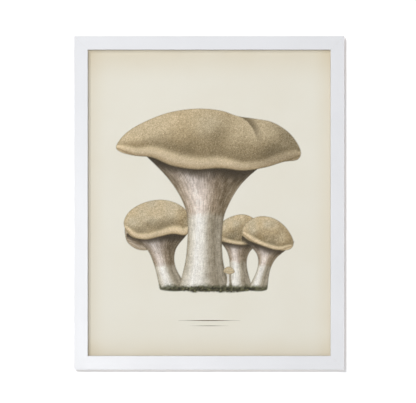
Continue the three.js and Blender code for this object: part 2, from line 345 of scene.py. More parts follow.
class Nodes:
    """A short hand for adding and joining shader or geometry nodes."""

    def __init__(self, tree):
        self.tree = tree

    def add(self, kind, inputs=None, **settings):
        node = self.tree.nodes.new(kind)
        for key, value in settings.items():
            setattr(node, key, value)
        for key, value in (inputs or {}).items():
            self.put(node.inputs[key], value)
        return node

    def put(self, socket, value):
        if isinstance(value, bpy.types.NodeSocket):
            self.tree.links.new(value, socket)
        else:
            socket.default_value = value

    def maths(self, operation, first, second=0.0, clamp=False):
        node = self.add("ShaderNodeMath", operation=operation, use_clamp=clamp)
        self.put(node.inputs[0], first)
        self.put(node.inputs[1], second)
        return node.outputs[0]

    def ramp(self, value, low, high, out_low=0.0, out_high=1.0, smooth=True):
        kind = "SMOOTHSTEP" if smooth else "LINEAR"
        node = self.add("ShaderNodeMapRange", interpolation_type=kind)
        for socket, item in zip(node.inputs[:5], (value, low, high, out_low, out_high)):
            self.put(socket, item)
        return node.outputs[0]

    def mix(self, factor, first, second, blend="MIX"):
        node = self.add("ShaderNodeMix", data_type="RGBA", blend_type=blend)
        self.put(node.inputs[0], factor)
        self.put(node.inputs[6], first)
        self.put(node.inputs[7], second)
        return node.outputs[2]

    def blend(self, factor, first, second):
        """A mix of two shaders."""
        node = self.add("ShaderNodeMixShader")
        for socket, value in zip(node.inputs, (factor, first.outputs[0], second.outputs[0])):
            self.put(socket, value)
        return node.outputs[0]

    def place(self, scale=(1, 1, 1), turn=(0, 0, 0)):
        """Object coordinates, stretched and turned."""
        source = self.add("ShaderNodeTexCoord").outputs["Object"]
        mapping = self.add("ShaderNodeMapping")
        mapping.inputs["Scale"].default_value = scale
        mapping.inputs["Rotation"].default_value = turn
        self.put(mapping.inputs["Vector"], source)
        return mapping.outputs[0]

    def position(self):
        """A node that splits the object coordinates into X, Y and Z."""
        node = self.add("ShaderNodeSeparateXYZ")
        self.put(node.inputs[0], self.add("ShaderNodeTexCoord").outputs["Object"])
        return node

    def noise(self, vector, scale, detail=3.0, roughness=0.5):
        node = self.add("ShaderNodeTexNoise")
        self.put(node.inputs["Vector"], vector)
        self.put(node.inputs["Scale"], scale)
        node.inputs["Detail"].default_value = detail
        node.inputs["Roughness"].default_value = roughness
        return node.outputs["Fac"]

    def group(self, tree, **inputs):
        node = self.add("ShaderNodeGroup")
        node.node_tree = tree
        for key, value in inputs.items():
            self.put(node.inputs[key.replace("_", " ")], value)
        return node

    def bump(self, height, strength, distance):
        node = self.add("ShaderNodeBump")
        node.inputs["Strength"].default_value = strength
        node.inputs["Distance"].default_value = distance
        self.put(node.inputs["Height"], height)
        return node.outputs[0]


def new_group(name, inputs, outputs):
    """An empty shader node group with named sockets, and its helper."""
    tree = bpy.data.node_groups.new(name, "ShaderNodeTree")
    for label, kind, default in inputs:
        socket = tree.interface.new_socket(label, in_out="INPUT", socket_type=kind)
        if default is not None:
            socket.default_value = default
    for label, kind in outputs:
        tree.interface.new_socket(label, in_out="OUTPUT", socket_type=kind)
    nodes = Nodes(tree)
    entry = nodes.add("NodeGroupInput")
    leave = nodes.add("NodeGroupOutput")
    return tree, nodes, entry.outputs, leave.inputs


def material_output(nodes):
    """A material's own output node."""
    return next(node for node in nodes.tree.nodes if node.type == "OUTPUT_MATERIAL")


def faded(tint, share):
    """A colour darkened to a share of itself."""
    return tuple(channel * share for channel in tint[:3]) + (1.0,)


def join_finish(nodes, surface, tone, roughness, normal):
    """Joins a finish's colour, roughness and bump to its shader."""
    for label, value in (("Base Color", tone), ("Roughness", roughness), ("Normal", normal)):
        nodes.put(surface.inputs[label], value)


def new_material(name):
    """An empty material with a Principled shader, and its helper."""
    material = bpy.data.materials.new(name)
    material.use_nodes = True
    tree = material.node_tree
    tree.nodes.clear()
    nodes = Nodes(tree)
    surface = nodes.add("ShaderNodeBsdfPrincipled")
    output = nodes.add("ShaderNodeOutputMaterial")
    tree.links.new(surface.outputs[0], output.inputs[0])
    return material, nodes, surface


def streaks_group():
    """Fine streaks along one direction, as left by a brush, a roller or a saw."""
    found = bpy.data.node_groups.get("Streaks")
    if found:
        return found
    inputs = [("Vector", VECTOR, None), ("Scale", FLOAT, 400.0), ("Wander", FLOAT, 0.3)]
    tree, nodes, entry, leave = new_group("Streaks", inputs, [("Value", FLOAT)])
    coarse = nodes.noise(entry["Vector"], nodes.maths("MULTIPLY", entry["Scale"], 0.13), 2.0)
    fine = nodes.noise(entry["Vector"], entry["Scale"], 4.0, 0.65)
    drift = nodes.maths("MULTIPLY", coarse, entry["Wander"])
    nodes.put(leave["Value"], nodes.maths("ADD", fine, drift))
    return tree


def mottle_group():
    """Two sizes of soft cloudiness and a fine speck, for paper, board and cast surfaces."""
    found = bpy.data.node_groups.get("Mottle")
    if found:
        return found
    inputs = [("Vector", VECTOR, None), ("Cloud scale", FLOAT, 12.0), ("Speck scale", FLOAT, 900.0)]
    tree, nodes, entry, leave = new_group("Mottle", inputs, [("Cloud", FLOAT), ("Speck", FLOAT)])
    cloud = nodes.noise(entry["Vector"], entry["Cloud scale"], 3.0, 0.55)
    nodes.put(leave["Cloud"], nodes.ramp(cloud, 0.3, 0.7))
    speck = nodes.noise(entry["Vector"], entry["Speck scale"], 2.0, 0.6)
    nodes.put(leave["Speck"], nodes.ramp(speck, 0.35, 0.7))
    return tree


def engraved_lines_group():
    """Parallel ink lines across a phase, thick where the strength is high."""
    found = bpy.data.node_groups.get("Engraved lines")
    if found:
        return found
    inputs = [("Phase", FLOAT, 0.0), ("Strength", FLOAT, 0.5), ("Break up", FLOAT, 0.5)]
    tree, nodes, entry, leave = new_group("Engraved lines", inputs, [("Ink", FLOAT)])
    turn = nodes.maths("MULTIPLY", entry["Phase"], 2 * math.pi)
    wave = nodes.ramp(nodes.maths("SINE", turn), -0.2, 0.9)
    kept = nodes.maths("MULTIPLY", wave, nodes.ramp(entry["Break up"], 0.25, 0.6, 0.45, 1.0))
    nodes.put(leave["Ink"], nodes.maths("MULTIPLY", kept, entry["Strength"], clamp=True))
    return tree


# ---------------------------------------------------------------- materials


def white_paint(name, along, tint):
    """Satin white paint with faint lengthwise brush marks."""
    material, nodes, surface = new_material(name)
    vector = nodes.place(scale=tuple(1.0 / 30.0 if axis == along else 1.0 for axis in "xyz"))
    streaks = nodes.group(streaks_group(), Vector=vector, Scale=1500.0, Wander=0.5).outputs["Value"]
    cloud = nodes.group(mottle_group(), Vector=nodes.place(), Cloud_scale=9.0, Speck_scale=1400.0)
    tone = nodes.mix(cloud.outputs["Cloud"], faded(tint, 0.965), tint)
    rough = nodes.ramp(streaks, 0.3, 0.9, 0.42, 0.54)
    height = nodes.maths("ADD", streaks, nodes.maths("MULTIPLY", cloud.outputs["Speck"], 0.4))
    join_finish(nodes, surface, tone, rough, nodes.bump(height, 0.22, 0.06 * MM))
    return material


def bare_wood(name, along):
    """Pale softwood with grain, and paint that has crept round its edges."""
    material, nodes, surface = new_material(name)
    vector = nodes.place(scale=tuple(0.045 if axis == along else 1.0 for axis in "xyz"))
    rings = nodes.noise(vector, 330.0, 5.0, 0.6)
    fibre = nodes.group(streaks_group(), Vector=vector, Scale=2200.0, Wander=0.3).outputs["Value"]
    tone = nodes.mix(nodes.ramp(rings, 0.38, 0.64), colour(214, 184, 143), colour(176, 136, 92))
    tone = nodes.mix(nodes.ramp(fibre, 0.5, 0.95, 0.0, 0.45), tone, colour(128, 92, 58))
    place = nodes.position()
    reach_x = nodes.maths("SUBTRACT", FRAME_WIDTH / 2, nodes.maths("ABSOLUTE", place.outputs["X"]))
    from_centre = nodes.maths("SUBTRACT", place.outputs["Z"], CENTRE_Z)
    reach_z = nodes.maths("SUBTRACT", FRAME_HEIGHT / 2, nodes.maths("ABSOLUTE", from_centre))
    edge = nodes.maths("MINIMUM", reach_x, reach_z)
    ragged = nodes.noise(nodes.place(), 120.0, 3.0, 0.55)
    edge = nodes.maths("SUBTRACT", edge, nodes.ramp(ragged, 0.3, 0.75, 0.0, 0.8 * MM))
    paint = nodes.ramp(edge, -0.4 * MM, 0.9 * MM, 0.92, 0.0)
    tone = nodes.mix(paint, tone, colour(222, 222, 226))
    rough = nodes.ramp(fibre, 0.3, 0.9, 0.62, 0.8)
    join_finish(nodes, surface, tone, rough, nodes.bump(fibre, 0.5, 0.12 * MM))
    return material


def edge_age(nodes, place):
    """How strongly the sheet has yellowed towards its four edges."""
    outwards_x = nodes.maths("ABSOLUTE", place.outputs["X"])
    from_side = nodes.maths("SUBTRACT", OPENING_HALF_WIDTH, outwards_x)
    rise = nodes.maths("SUBTRACT", place.outputs["Z"], CENTRE_Z)
    from_top = nodes.maths("SUBTRACT", OPENING_HALF_HEIGHT, rise)
    from_bottom = nodes.maths("ADD", OPENING_HALF_HEIGHT, rise)
    wander = nodes.noise(nodes.place(), 16.0, 3.0, 0.6)
    side = nodes.ramp(from_side, -6 * MM, 34 * MM, 0.62, 0.0)
    top = nodes.ramp(from_top, -8 * MM, 58 * MM, 0.82, 0.0)
    bottom = nodes.ramp(from_bottom, -8 * MM, 40 * MM, 0.7, 0.0)
    total = nodes.maths("ADD", nodes.maths("ADD", side, top), bottom)
    return nodes.maths("MULTIPLY", total, nodes.ramp(wander, 0.2, 0.8, 0.78, 1.12, smooth=False))


def printed_paper(name, settings):
    """Aged cream paper, with the drawing's ink laid in from the sheet's own attributes."""
    material, nodes, surface = new_material(name)
    place = nodes.position()
    mottle = nodes.group(mottle_group(), Vector=nodes.place(), Cloud_scale=14.0, Speck_scale=1100.0)
    fibres = nodes.noise(nodes.place(scale=(1.0, 1.0, 0.35), turn=(0.0, 0.5, 0.0)), 1500.0, 3.0, 0.7)
    age = nodes.maths("MULTIPLY", edge_age(nodes, place), settings.edge_age)
    fresh = tuple(settings.paper_colour) + (1.0,)
    aged = tuple(settings.aged_colour) + (1.0,)
    paper = nodes.mix(age, fresh, aged)
    paper = nodes.mix(nodes.maths("MULTIPLY", mottle.outputs["Cloud"], 0.12), paper, aged)
    paper = nodes.mix(nodes.ramp(fibres, 0.35, 0.8, 0.0, 0.05), paper, colour(178, 160, 128))
    ink = nodes.add("ShaderNodeAttribute", attribute_name="ink")
    marks = nodes.add("ShaderNodeAttribute", attribute_name="marks")
    split = nodes.add("ShaderNodeSeparateColor")
    nodes.put(split.inputs[0], marks.outputs["Color"])
    break_up = nodes.noise(nodes.place(), 260.0, 2.0, 0.5)
    engraved = {"Phase": split.outputs[0], "Strength": split.outputs[1], "Break_up": break_up}
    lines = nodes.maths("MULTIPLY", nodes.group(engraved_lines_group(), **engraved).outputs["Ink"], 0.95)
    stipple = nodes.noise(nodes.place(), 760.0, 2.0, 0.75)
    coarse = nodes.noise(nodes.place(), 330.0, 2.0, 0.6)
    dots = nodes.ramp(stipple, 0.42, 0.66)
    dots = nodes.maths("MULTIPLY", nodes.maths("ADD", dots, nodes.ramp(coarse, 0.4, 0.7, 0.0, 0.7)), 0.6)
    dots = nodes.maths("MULTIPLY", dots, split.outputs[2])
    inked = nodes.mix(lines, ink.outputs["Color"], colour(62, 50, 36))
    inked = nodes.mix(nodes.maths("MULTIPLY", dots, 0.7), inked, colour(70, 60, 42))
    inked = nodes.mix(nodes.ramp(fibres, 0.4, 0.8, 0.0, 0.10), inked, paper)
    printed = nodes.mix(ink.outputs["Alpha"], paper, inked)
    rough = nodes.ramp(mottle.outputs["Speck"], 0.0, 1.0, 0.8, 0.92)
    join_finish(nodes, surface, printed, rough, nodes.bump(fibres, 0.25, 0.05 * MM))
    surface.inputs["Specular IOR Level"].default_value = 0.25
    return material


def rule_ink(name):
    """Sparse brown printer's ink, worn through in specks."""
    material, nodes, surface = new_material(name)
    wear = nodes.noise(nodes.place(), 900.0, 3.0, 0.7)
    tone = nodes.mix(nodes.ramp(wear, 0.4, 0.7), colour(96, 84, 66), colour(150, 138, 114))
    nodes.put(surface.inputs["Base Color"], tone)
    surface.inputs["Roughness"].default_value = 0.85
    return material


def clear_glazing(name):
    """Clear sheet that shows what is behind it and mirrors a little by its angle."""
    material, nodes, surface = new_material(name)
    nodes.tree.nodes.remove(surface)
    output = material_output(nodes)
    clear = nodes.add("ShaderNodeBsdfTransparent")
    shine = nodes.add("ShaderNodeBsdfGlossy")
    shine.inputs["Roughness"].default_value = 0.03
    angle = nodes.add("ShaderNodeFresnel")
    angle.inputs["IOR"].default_value = 1.3
    behind = nodes.add("ShaderNodeNewGeometry").outputs["Backfacing"]
    outer_only = nodes.maths("SUBTRACT", 1.0, behind)
    mirrored = nodes.maths("MULTIPLY", angle.outputs[0], outer_only)
    nodes.put(output.inputs[0], nodes.blend(mirrored, clear, shine))
    return material


def board(name, light, dark, speck_scale, roughness, bump_height):
    """Card, foam board or hardboard: mottled, with flecks of fibre."""
    material, nodes, surface = new_material(name)
    mottle = nodes.group(mottle_group(), Vector=nodes.place(), Cloud_scale=18.0, Speck_scale=speck_scale)
    stretched = nodes.place(scale=(1.0, 1.0, 0.3), turn=(0.0, 0.7, 0.0))
    fibre = nodes.noise(stretched, speck_scale * 0.6, 4.0, 0.7)
    tone = nodes.mix(nodes.maths("MULTIPLY", mottle.outputs["Cloud"], 0.2), light, dark)
    tone = nodes.mix(nodes.ramp(fibre, 0.48, 0.72, 0.0, 0.75), tone, dark)
    rough = nodes.ramp(mottle.outputs["Speck"], 0.0, 1.0, roughness - 0.08, roughness + 0.05)
    join_finish(nodes, surface, tone, rough, nodes.bump(fibre, 0.4, bump_height))
    return material


def plated_steel(name, tint, roughness):
    """Plated or rolled steel with fine rolling streaks and dull patches."""
    material, nodes, surface = new_material(name)
    rolled = nodes.place(scale=(1.0, 1.0, 0.12))
    streaks = nodes.group(streaks_group(), Vector=rolled, Scale=5200.0, Wander=0.4).outputs["Value"]
    patches = nodes.noise(nodes.place(), 420.0, 3.0, 0.6)
    tone = nodes.mix(nodes.ramp(patches, 0.35, 0.7), tint, faded(tint, 0.78))
    rough = nodes.ramp(streaks, 0.35, 0.95, roughness - 0.06, roughness + 0.12)
    join_finish(nodes, surface, tone, rough, nodes.bump(streaks, 0.2, 0.02 * MM))
    surface.inputs["Metallic"].default_value = 1.0
    return material


def black_rubber(name):
    """Moulded rubber with a dusty bloom."""
    material, nodes, surface = new_material(name)
    mottle = nodes.group(mottle_group(), Vector=nodes.place(), Cloud_scale=160.0, Speck_scale=2600.0)
    tone = nodes.mix(mottle.outputs["Cloud"], colour(34, 34, 36), colour(58, 57, 57))
    speck = mottle.outputs["Speck"]
    rough = nodes.ramp(speck, 0.0, 1.0, 0.55, 0.75)
    join_finish(nodes, surface, tone, rough, nodes.bump(speck, 0.3, 0.05 * MM))
    return material


# ---------------------------------------------------------------- moulding


def moulding_profile(arris):
    """The moulding's section as (across, depth) points, from the outer back edge round the front."""
    small = arris * 0.5
    points = []
    points += arc((small, RAIL_DEPTH - small), small, 90, 180, 4)
    points += arc((arris, arris), arris, 180, 270, 6)
    points += arc((FACE_WIDTH - arris, arris), arris, 270, 360, 6)
    points += arc((FACE_WIDTH - small, LIP_DEPTH - small), small, 0, 90, 4)
    points.append((BACK_WIDTH, LIP_DEPTH))
    points += arc((BACK_WIDTH - small, RAIL_DEPTH - small), small, 0, 90, 4)
    return points


def moulding_mesh(name, arris, gap, turn, length, reach):
    """One mitred length of moulding, turned about Y by a number of quarter turns."""
    shape = bmesh.new()
    rims = []
    for end in (-1, 1):
        rim = []
        for across, depth in moulding_profile(arris):
            x = end * (length / 2 - across - gap)
            z = across - reach
            for _ in range(turn):
                x, z = z, -x
            rim.append(shape.verts.new((x, FRONT_Y + depth, CENTRE_Z + z)))
        rims.append(rim)
    close_prism(shape, *rims)
    return bmesh_object(name, shape)


def nail_slots():
    """Prisms for the slots that the V-nails stand in, a little larger than the nails."""
    shape = bmesh.new()
    for node in sorted(frame["nodes"]):
        if not node.startswith("v_nail_"):
            continue
        copy = bmesh.new()
        copy.from_mesh(frame["nodes"][node].data)
        bmesh.ops.remove_doubles(copy, verts=copy.verts, dist=1e-6)
        low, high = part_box(node)
        middle = (low + high) / 2
        size = high - low
        grown = [(s + 2 * NAIL_CLEARANCE) / s for s in size]
        for v in copy.verts:
            offset = v.co - middle
            v.co = middle + Vector((offset.x * grown[0], offset.y, offset.z * grown[2]))
            v.co.y += 1 * MM if v.co.y > middle.y else -NAIL_SLOT_DEPTH
        mesh = bpy.data.meshes.new("slot")
        copy.to_mesh(mesh)
        copy.free()
        shape.from_mesh(mesh)
        bpy.data.meshes.remove(mesh)
    return bmesh_object("nail_slots", shape)


def build_moulding(settings):
    """The four mitred lengths, painted in front and bare behind."""
    tint = tuple(settings.paint_colour) + (1.0,)
    lengths = {"rail": (FRAME_WIDTH, FRAME_HEIGHT / 2), "stile": (FRAME_HEIGHT, FRAME_WIDTH / 2)}
    finishes = {
        "rail": (white_paint("Rail paint", "x", tint), bare_wood("Rail wood", "x")),
        "stile": (white_paint("Stile paint", "z", tint), bare_wood("Stile wood", "z")),
    }
    for turn, node in enumerate(RAILS):
        kind = node.split("_")[1]
        obj = moulding_mesh(f"{node}_moulding", settings.arris, settings.mitre_gap, turn, *lengths[kind])
        cut_with(obj, nail_slots())
        for material in finishes[kind]:
            obj.data.materials.append(material)
        rebate_front = FRONT_Y + LIP_DEPTH - 0.5 * MM
        for face in obj.data.polygons:
            inside_rebate = face.center.y > rebate_front and not outer_side(face)
            face.material_index = 1 if inside_rebate else 0
        smooth_edges(obj)
        on_body(obj, BODY, "white_moulding", node)


def outer_side(face):
    """Whether a face of the moulding looks outwards, away from the frame's middle."""
    outwards = Vector((face.center.x, 0.0, face.center.z - CENTRE_Z))
    across = abs(face.normal.x) > abs(face.normal.z)
    side = face.normal.x * outwards.x if across else face.normal.z * outwards.z
    return side > 0 and abs(face.normal.y) < 0.8


# ---------------------------------------------------------------- drawing


def closed_curve(knots, steps=8):
    """A smooth closed line through its knots."""
    points = []
    count = len(knots)
    for i in range(count):
        a, b, c, d = (np.array(knots[(i + k) % count], float) for k in (-1, 0, 1, 2))
        for t in np.arange(steps) / steps:
            points.append(spline_point(a, b, c, d, t))
    return np.array(points)


def open_curve(knots, steps=10):
    """A smooth open line through its knots."""
    padded = [knots[0], *knots, knots[-1]]
    points = []
    for i in range(len(knots) - 1):
        a, b, c, d = (np.array(padded[i + k], float) for k in range(4))
        for t in np.arange(steps) / steps:
            points.append(spline_point(a, b, c, d, t))
    points.append(np.array(knots[-1], float))
    return np.array(points)


def spline_point(a, b, c, d, t):
    """A point between b and c on the smooth line through a, b, c and d."""
    return 0.5 * (
        2 * b + (c - a) * t + (2 * a - 5 * b + 4 * c - d) * t**2 + (3 * b - a - 3 * c + d) * t**3
    )


def smooth_step(low, high, value):
    """How far a value has come from low to high, from 0 to 1, with soft ends."""
    share = np.clip((value - low) / (high - low), 0.0, 1.0)
    return share * share * (3.0 - 2.0 * share)


def tones(value, *stops):
    """Colours along a scale: stops are (value, (red, green, blue)), in order."""
    places = [stop[0] for stop in stops]
    channels = [np.interp(value, places, [stop[1][i] for stop in stops]) for i in range(3)]
    return np.stack(channels, axis=-1)


class Drawing:
    """A grid of ink values over the middle of the sheet, in millimetres from its centre."""

    def __init__(self, columns, rows, seed):
        self.x, self.z = np.meshgrid(columns, rows)
        self.step = columns[1] - columns[0]
        self.seed = seed
        self.ink = np.full((*self.x.shape, 3), 220.0)
        self.cover = np.zeros(self.x.shape)
        self.phase = np.zeros(self.x.shape)
        self.lines = np.zeros(self.x.shape)
        self.dots = np.zeros(self.x.shape)
        self.grain = np.random.default_rng(seed).normal(size=self.x.shape)

    def wander(self, cell, salt=0, across=None, up=None):
        """Smooth noise from -1 to 1, with bumps about a cell across."""
        across = (self.x if across is None else across) / cell
        up = (self.z if up is None else up) / cell
        left = np.floor(across).astype(int)
        low = np.floor(up).astype(int)
        size = (low.max() - low.min() + 2, left.max() - left.min() + 2)
        lattice = np.random.default_rng(self.seed + salt).uniform(-1, 1, size)
        i = low - low.min()
        j = left - left.min()
        u = smooth_step(0, 1, across - left)
        v = smooth_step(0, 1, up - low)
        lower = lattice[i, j] * (1 - u) + lattice[i, j + 1] * u
        upper = lattice[i + 1, j] * (1 - u) + lattice[i + 1, j + 1] * u
        return lower * (1 - v) + upper * v

    def nearest(self, line, closed=False):
        """How far each grid point is from a line, and the share of the line at its nearest point."""
        gap = np.full(self.x.shape, 1e9)
        along = np.zeros(self.x.shape)
        ends = np.roll(line, -1, axis=0) if closed else line[1:]
        for i, ((ax, az), (bx, bz)) in enumerate(zip(line, ends)):
            span_x = bx - ax
            span_z = bz - az
            length = max(span_x**2 + span_z**2, 1e-9)
            share = np.clip(((self.x - ax) * span_x + (self.z - az) * span_z) / length, 0, 1)
            here = (self.x - ax - share * span_x) ** 2 + (self.z - az - share * span_z) ** 2
            closer = here < gap
            gap = np.where(closer, here, gap)
            along = np.where(closer, (i + share) / len(ends), along)
        return np.sqrt(gap), along

    def depth(self, outline):
        """How far each grid point is inside an outline, negative outside it."""
        within = np.zeros(self.x.shape, bool)
        for (ax, az), (bx, bz) in zip(outline, np.roll(outline, -1, axis=0)):
            if az == bz:
                continue
            crossing = (az > self.z) != (bz > self.z)
            within ^= crossing & (self.x < ax + (self.z - az) / (bz - az) * (bx - ax))
        return self.nearest(outline, closed=True)[0] * np.where(within, 1.0, -1.0)

    def lay(self, mask, ink, phase=0.0, lines=0.0, dots=0.0):
        """Lays ink over what is there, as far as the mask says."""
        soft = mask[..., None]
        under = np.where(self.cover[..., None] > 0.002, self.ink, ink)
        self.ink = under * (1 - soft) + ink * soft
        self.phase = np.where(mask > 0.5, phase, self.phase)
        self.lines = self.lines * (1 - mask) + lines * mask
        self.dots = self.dots * (1 - mask) + dots * mask
        self.cover = self.cover * (1 - mask) + mask

    def tint(self, amount, ink):
        """Works another tone into what is already there."""
        share = np.clip(amount, 0, 1)[..., None]
        self.ink = self.ink * (1 - share) + np.array(ink, float) * share


def relief_light(drawing, relief):
    """How brightly a relief is lit by the drawing's light."""
    slope_z, slope_x = np.gradient(relief, drawing.step)
    length = np.sqrt(slope_x**2 + slope_z**2 + 1.0)
    return (LIGHT[1] - slope_x * LIGHT[0] - slope_z * LIGHT[2]) / length


def rounded(depth, radius):
    """The height of a form that rises from its outline like a cushion."""
    share = np.clip(depth / radius, 0.0, 1.0)
    return radius * np.sqrt(1.0 - (1.0 - share) ** 2)


def blurred(values, rounds):
    """Values smoothed by averaging each one with its neighbours, a number of times."""
    for _ in range(rounds):
        for axis in (0, 1):
            values = (np.roll(values, 1, axis) + 2 * values + np.roll(values, -1, axis)) / 4
    return values


def draw_cap(drawing, knots, rim_knots, rim_width, swells=(), lift=0.0):
    """A mushroom's cap: a lit form with swells, and a paler rolled rim along its lower edge."""
    outline = closed_curve(knots)
    depth = drawing.depth(outline)
    mask = smooth_step(-0.6, 0.6, depth)
    width, height = np.ptp(outline, axis=0)
    relief = blurred(rounded(depth, height * 0.5) * 0.34, int(height * 0.9))
    for x, z, radius, rise in swells:
        spread = (drawing.x - x) ** 2 + (1.5 * (drawing.z - z)) ** 2
        relief = relief + rise * np.exp(-spread / radius**2)
    relief = relief + drawing.wander(width * 0.09, 3) * width * 0.006
    middle = (outline[:, 0].min() + outline[:, 0].max()) / 2
    lit = relief_light(drawing, relief) + lift
    ink = tones(lit, *CAP_TONES)
    warmth = drawing.wander(width * 0.14, 11)[..., None]
    ink = ink + warmth * np.array((6.0, 2.0, -3.0)) + drawing.grain[..., None] * 15.0
    spread = np.arctan2(drawing.x - middle, outline[:, 1].max() + height * 0.3 - drawing.z)
    phase = spread * width * 0.3 + drawing.wander(11.0, 7) * 0.6
    shade = smooth_step(0.8, 0.3, lit)
    drawing.lay(mask, ink, phase, 0.06 + 0.3 * shade, 0.3 + 0.4 * shade)
    gap, along = drawing.nearest(open_curve(rim_knots))
    taper = np.sqrt(np.clip(np.sin(np.pi * along), 0.0, 1.0))
    reach = rim_width * (0.35 + 0.65 * taper) * (1.0 + 0.42 * drawing.wander(rim_width * 3.4, 13))
    seam = smooth_step(reach * 2.1, reach, gap) * mask
    drawing.tint(seam * 0.2, SEAM_INK)
    blending = 0.62 + 0.38 * smooth_step(-0.35, 0.25, drawing.wander(rim_width * 4.6, 14))
    band = smooth_step(reach * 1.2, reach * 0.6, gap) * mask * blending
    roll = tones(gap / np.maximum(reach, 0.1), *RIM_TONES)
    roll = roll * (0.9 + 0.16 * smooth_step(0.45, 0.95, lit + 0.12))[..., None]
    roll = roll + drawing.grain[..., None] * 10.0
    drawing.lay(band, roll, phase, 0.08, 0.25)
    drawing.tint(smooth_step(1.5, 0.2, np.abs(depth)) * mask * 0.38, CONTOUR_INK)


def draw_fold(drawing, knots, spread):
    """A crease where one lobe of a cap overlaps the next: dark beyond it, light on its near edge."""
    line = open_curve(knots)
    gap, along = drawing.nearest(line)
    level = np.interp(drawing.z, line[::-1, 1], line[::-1, 0])
    beyond = drawing.x > level
    fade = 1.0 - smooth_step(0.35, 1.0, along)
    drawing.tint(smooth_step(spread, 0.0, gap) * fade * beyond * 0.62, CONTOUR_INK)
    drawing.tint(smooth_step(spread * 0.5, 0.0, gap) * fade * ~beyond * 0.4, FOLD_LIGHT_INK)


class Stem:
    """A stem whose flanks spread into gills at the top: left and right edges down its height."""

    def __init__(self, drawing, left_knots, right_knots):
        left = open_curve(left_knots)
        right = open_curve(right_knots)
        left_edge = np.interp(drawing.z, left[::-1, 1], left[::-1, 0])
        right_edge = np.interp(drawing.z, right[::-1, 1], right[::-1, 0])
        self.top = min(left[0, 1], right[0, 1])
        self.base = max(left[-1, 1], right[-1, 1])
        half = np.maximum((right_edge - left_edge) / 2, 0.5)
        self.across = (drawing.x - (left_edge + right_edge) / 2) / half
        self.edge = (1.0 - np.abs(self.across)) * half


def draw_stem(drawing, stem, gill_end, gills, cap_edge, tone=1.0):
    """Gills that run down from the cap's lower edge into a pale streaked stem with a mossy foot."""
    foot = stem.base - 4.0 * np.sqrt(np.clip(1.0 - stem.across**2, 0, 1))
    mask = smooth_step(-0.5, 0.7, stem.edge)
    mask = mask * smooth_step(-0.8, 0.8, drawing.z - foot) * (drawing.z < stem.top)
    u = stem.across + 0.05 * drawing.wander(16.0, 19)
    reach = stem.top - gill_end
    wavy_end = gill_end + 0.05 * reach * drawing.wander(reach * 0.12, 21)
    in_gills = smooth_step(wavy_end - 0.03 * reach, wavy_end + 0.12 * reach, drawing.z)[..., None]
    ink = tones(u, *STEM_TONES) * (1 - in_gills) + tones(u, *GILL_TONES) * tone * in_gills
    down = np.clip((cap_edge - drawing.z) / (cap_edge - gill_end), 0, 1.0)
    ink = ink * (tones(down, *GILL_SHADE) * in_gills + 1.0 * (1 - in_gills))
    fibres = drawing.wander(1.0, 23, across=stem.across * gills * 0.7, up=drawing.z / 9.0)
    blotches = drawing.wander(5.0, 29) + 0.8 * drawing.wander(2.4, 31)
    strength = (17.0 + 14.0 * in_gills[..., 0]) * fibres + 8.0 * blotches + 9.0 * drawing.grain
    ink = ink + strength[..., None]
    phase = stem.across * gills / 2 + drawing.wander(14.0, 37) * 0.2
    shade = smooth_step(-0.3, 0.55, stem.across)
    gill_lines = (0.95 - 0.4 * down) * (0.5 + 0.5 * shade)
    stem_lines = 0.06 + 0.22 * shade
    lines = gill_lines * in_gills[..., 0] + stem_lines * (1 - in_gills[..., 0])
    drawing.lay(mask, ink, phase, lines, 0.14 + 0.22 * shade)
    contour = smooth_step(1.3, 0.2, np.abs(stem.edge)) * mask
    drawing.tint(contour * 0.5, CONTOUR_INK)
    height = drawing.z - stem.base + 2.5 * drawing.wander(5.0, 41) + 1.5 * drawing.wander(2.0, 43)
    drawing.tint(smooth_step(9.0, 1.0, height) * mask * 0.72, MOSS_INK)


def draw_underside(drawing, knots, hub, gills):
    """The underside of a tilted cap: gills that fan out from the stem's top to the far edge."""
    outline = closed_curve(knots)
    depth = drawing.depth(outline)
    mask = smooth_step(-0.5, 0.6, depth)
    towards = outline.mean(axis=0) - hub
    towards = towards / np.hypot(*towards)
    right = drawing.x - hub[0]
    up = drawing.z - hub[1]
    angle = np.arctan2(up * towards[0] - right * towards[1], right * towards[0] + up * towards[1])
    inner = smooth_step(16.0, 0.5, depth)
    ink = tones(inner, *UNDERSIDE_TONES)
    ink = ink + 7.0 * drawing.wander(3.0, 79)[..., None] + 8.0 * drawing.grain[..., None]
    drawing.lay(mask, ink, angle * gills / (2 * math.pi), 0.9 - 0.35 * inner, 0.25)
    drawing.tint(smooth_step(1.5, 0.3, np.abs(depth)) * mask * 0.45, CONTOUR_INK)


def cast_shadow(drawing, edge_knots, drop, slant, strength=0.8):
    """The shadow that a cap throws on the gills, close under its edge and deeper to the right."""
    edge = open_curve(edge_knots)
    level = np.interp(drawing.x, edge[:, 0], edge[:, 1])
    share = np.clip((drawing.x - edge[0, 0]) / (edge[-1, 0] - edge[0, 0]), 0, 1)
    depth = drop * (1.0 + slant * share) * (1.0 + 0.25 * drawing.wander(7.0, 47))
    below = level - drawing.z
    shadow = smooth_step(depth, 0.0, below) * (below > -3.0) * (drawing.cover > 0.5)
    inside = (drawing.x > edge[0, 0]) & (drawing.x < edge[-1, 0])
    drawing.tint(shadow * inside * strength, SHADOW_INK)


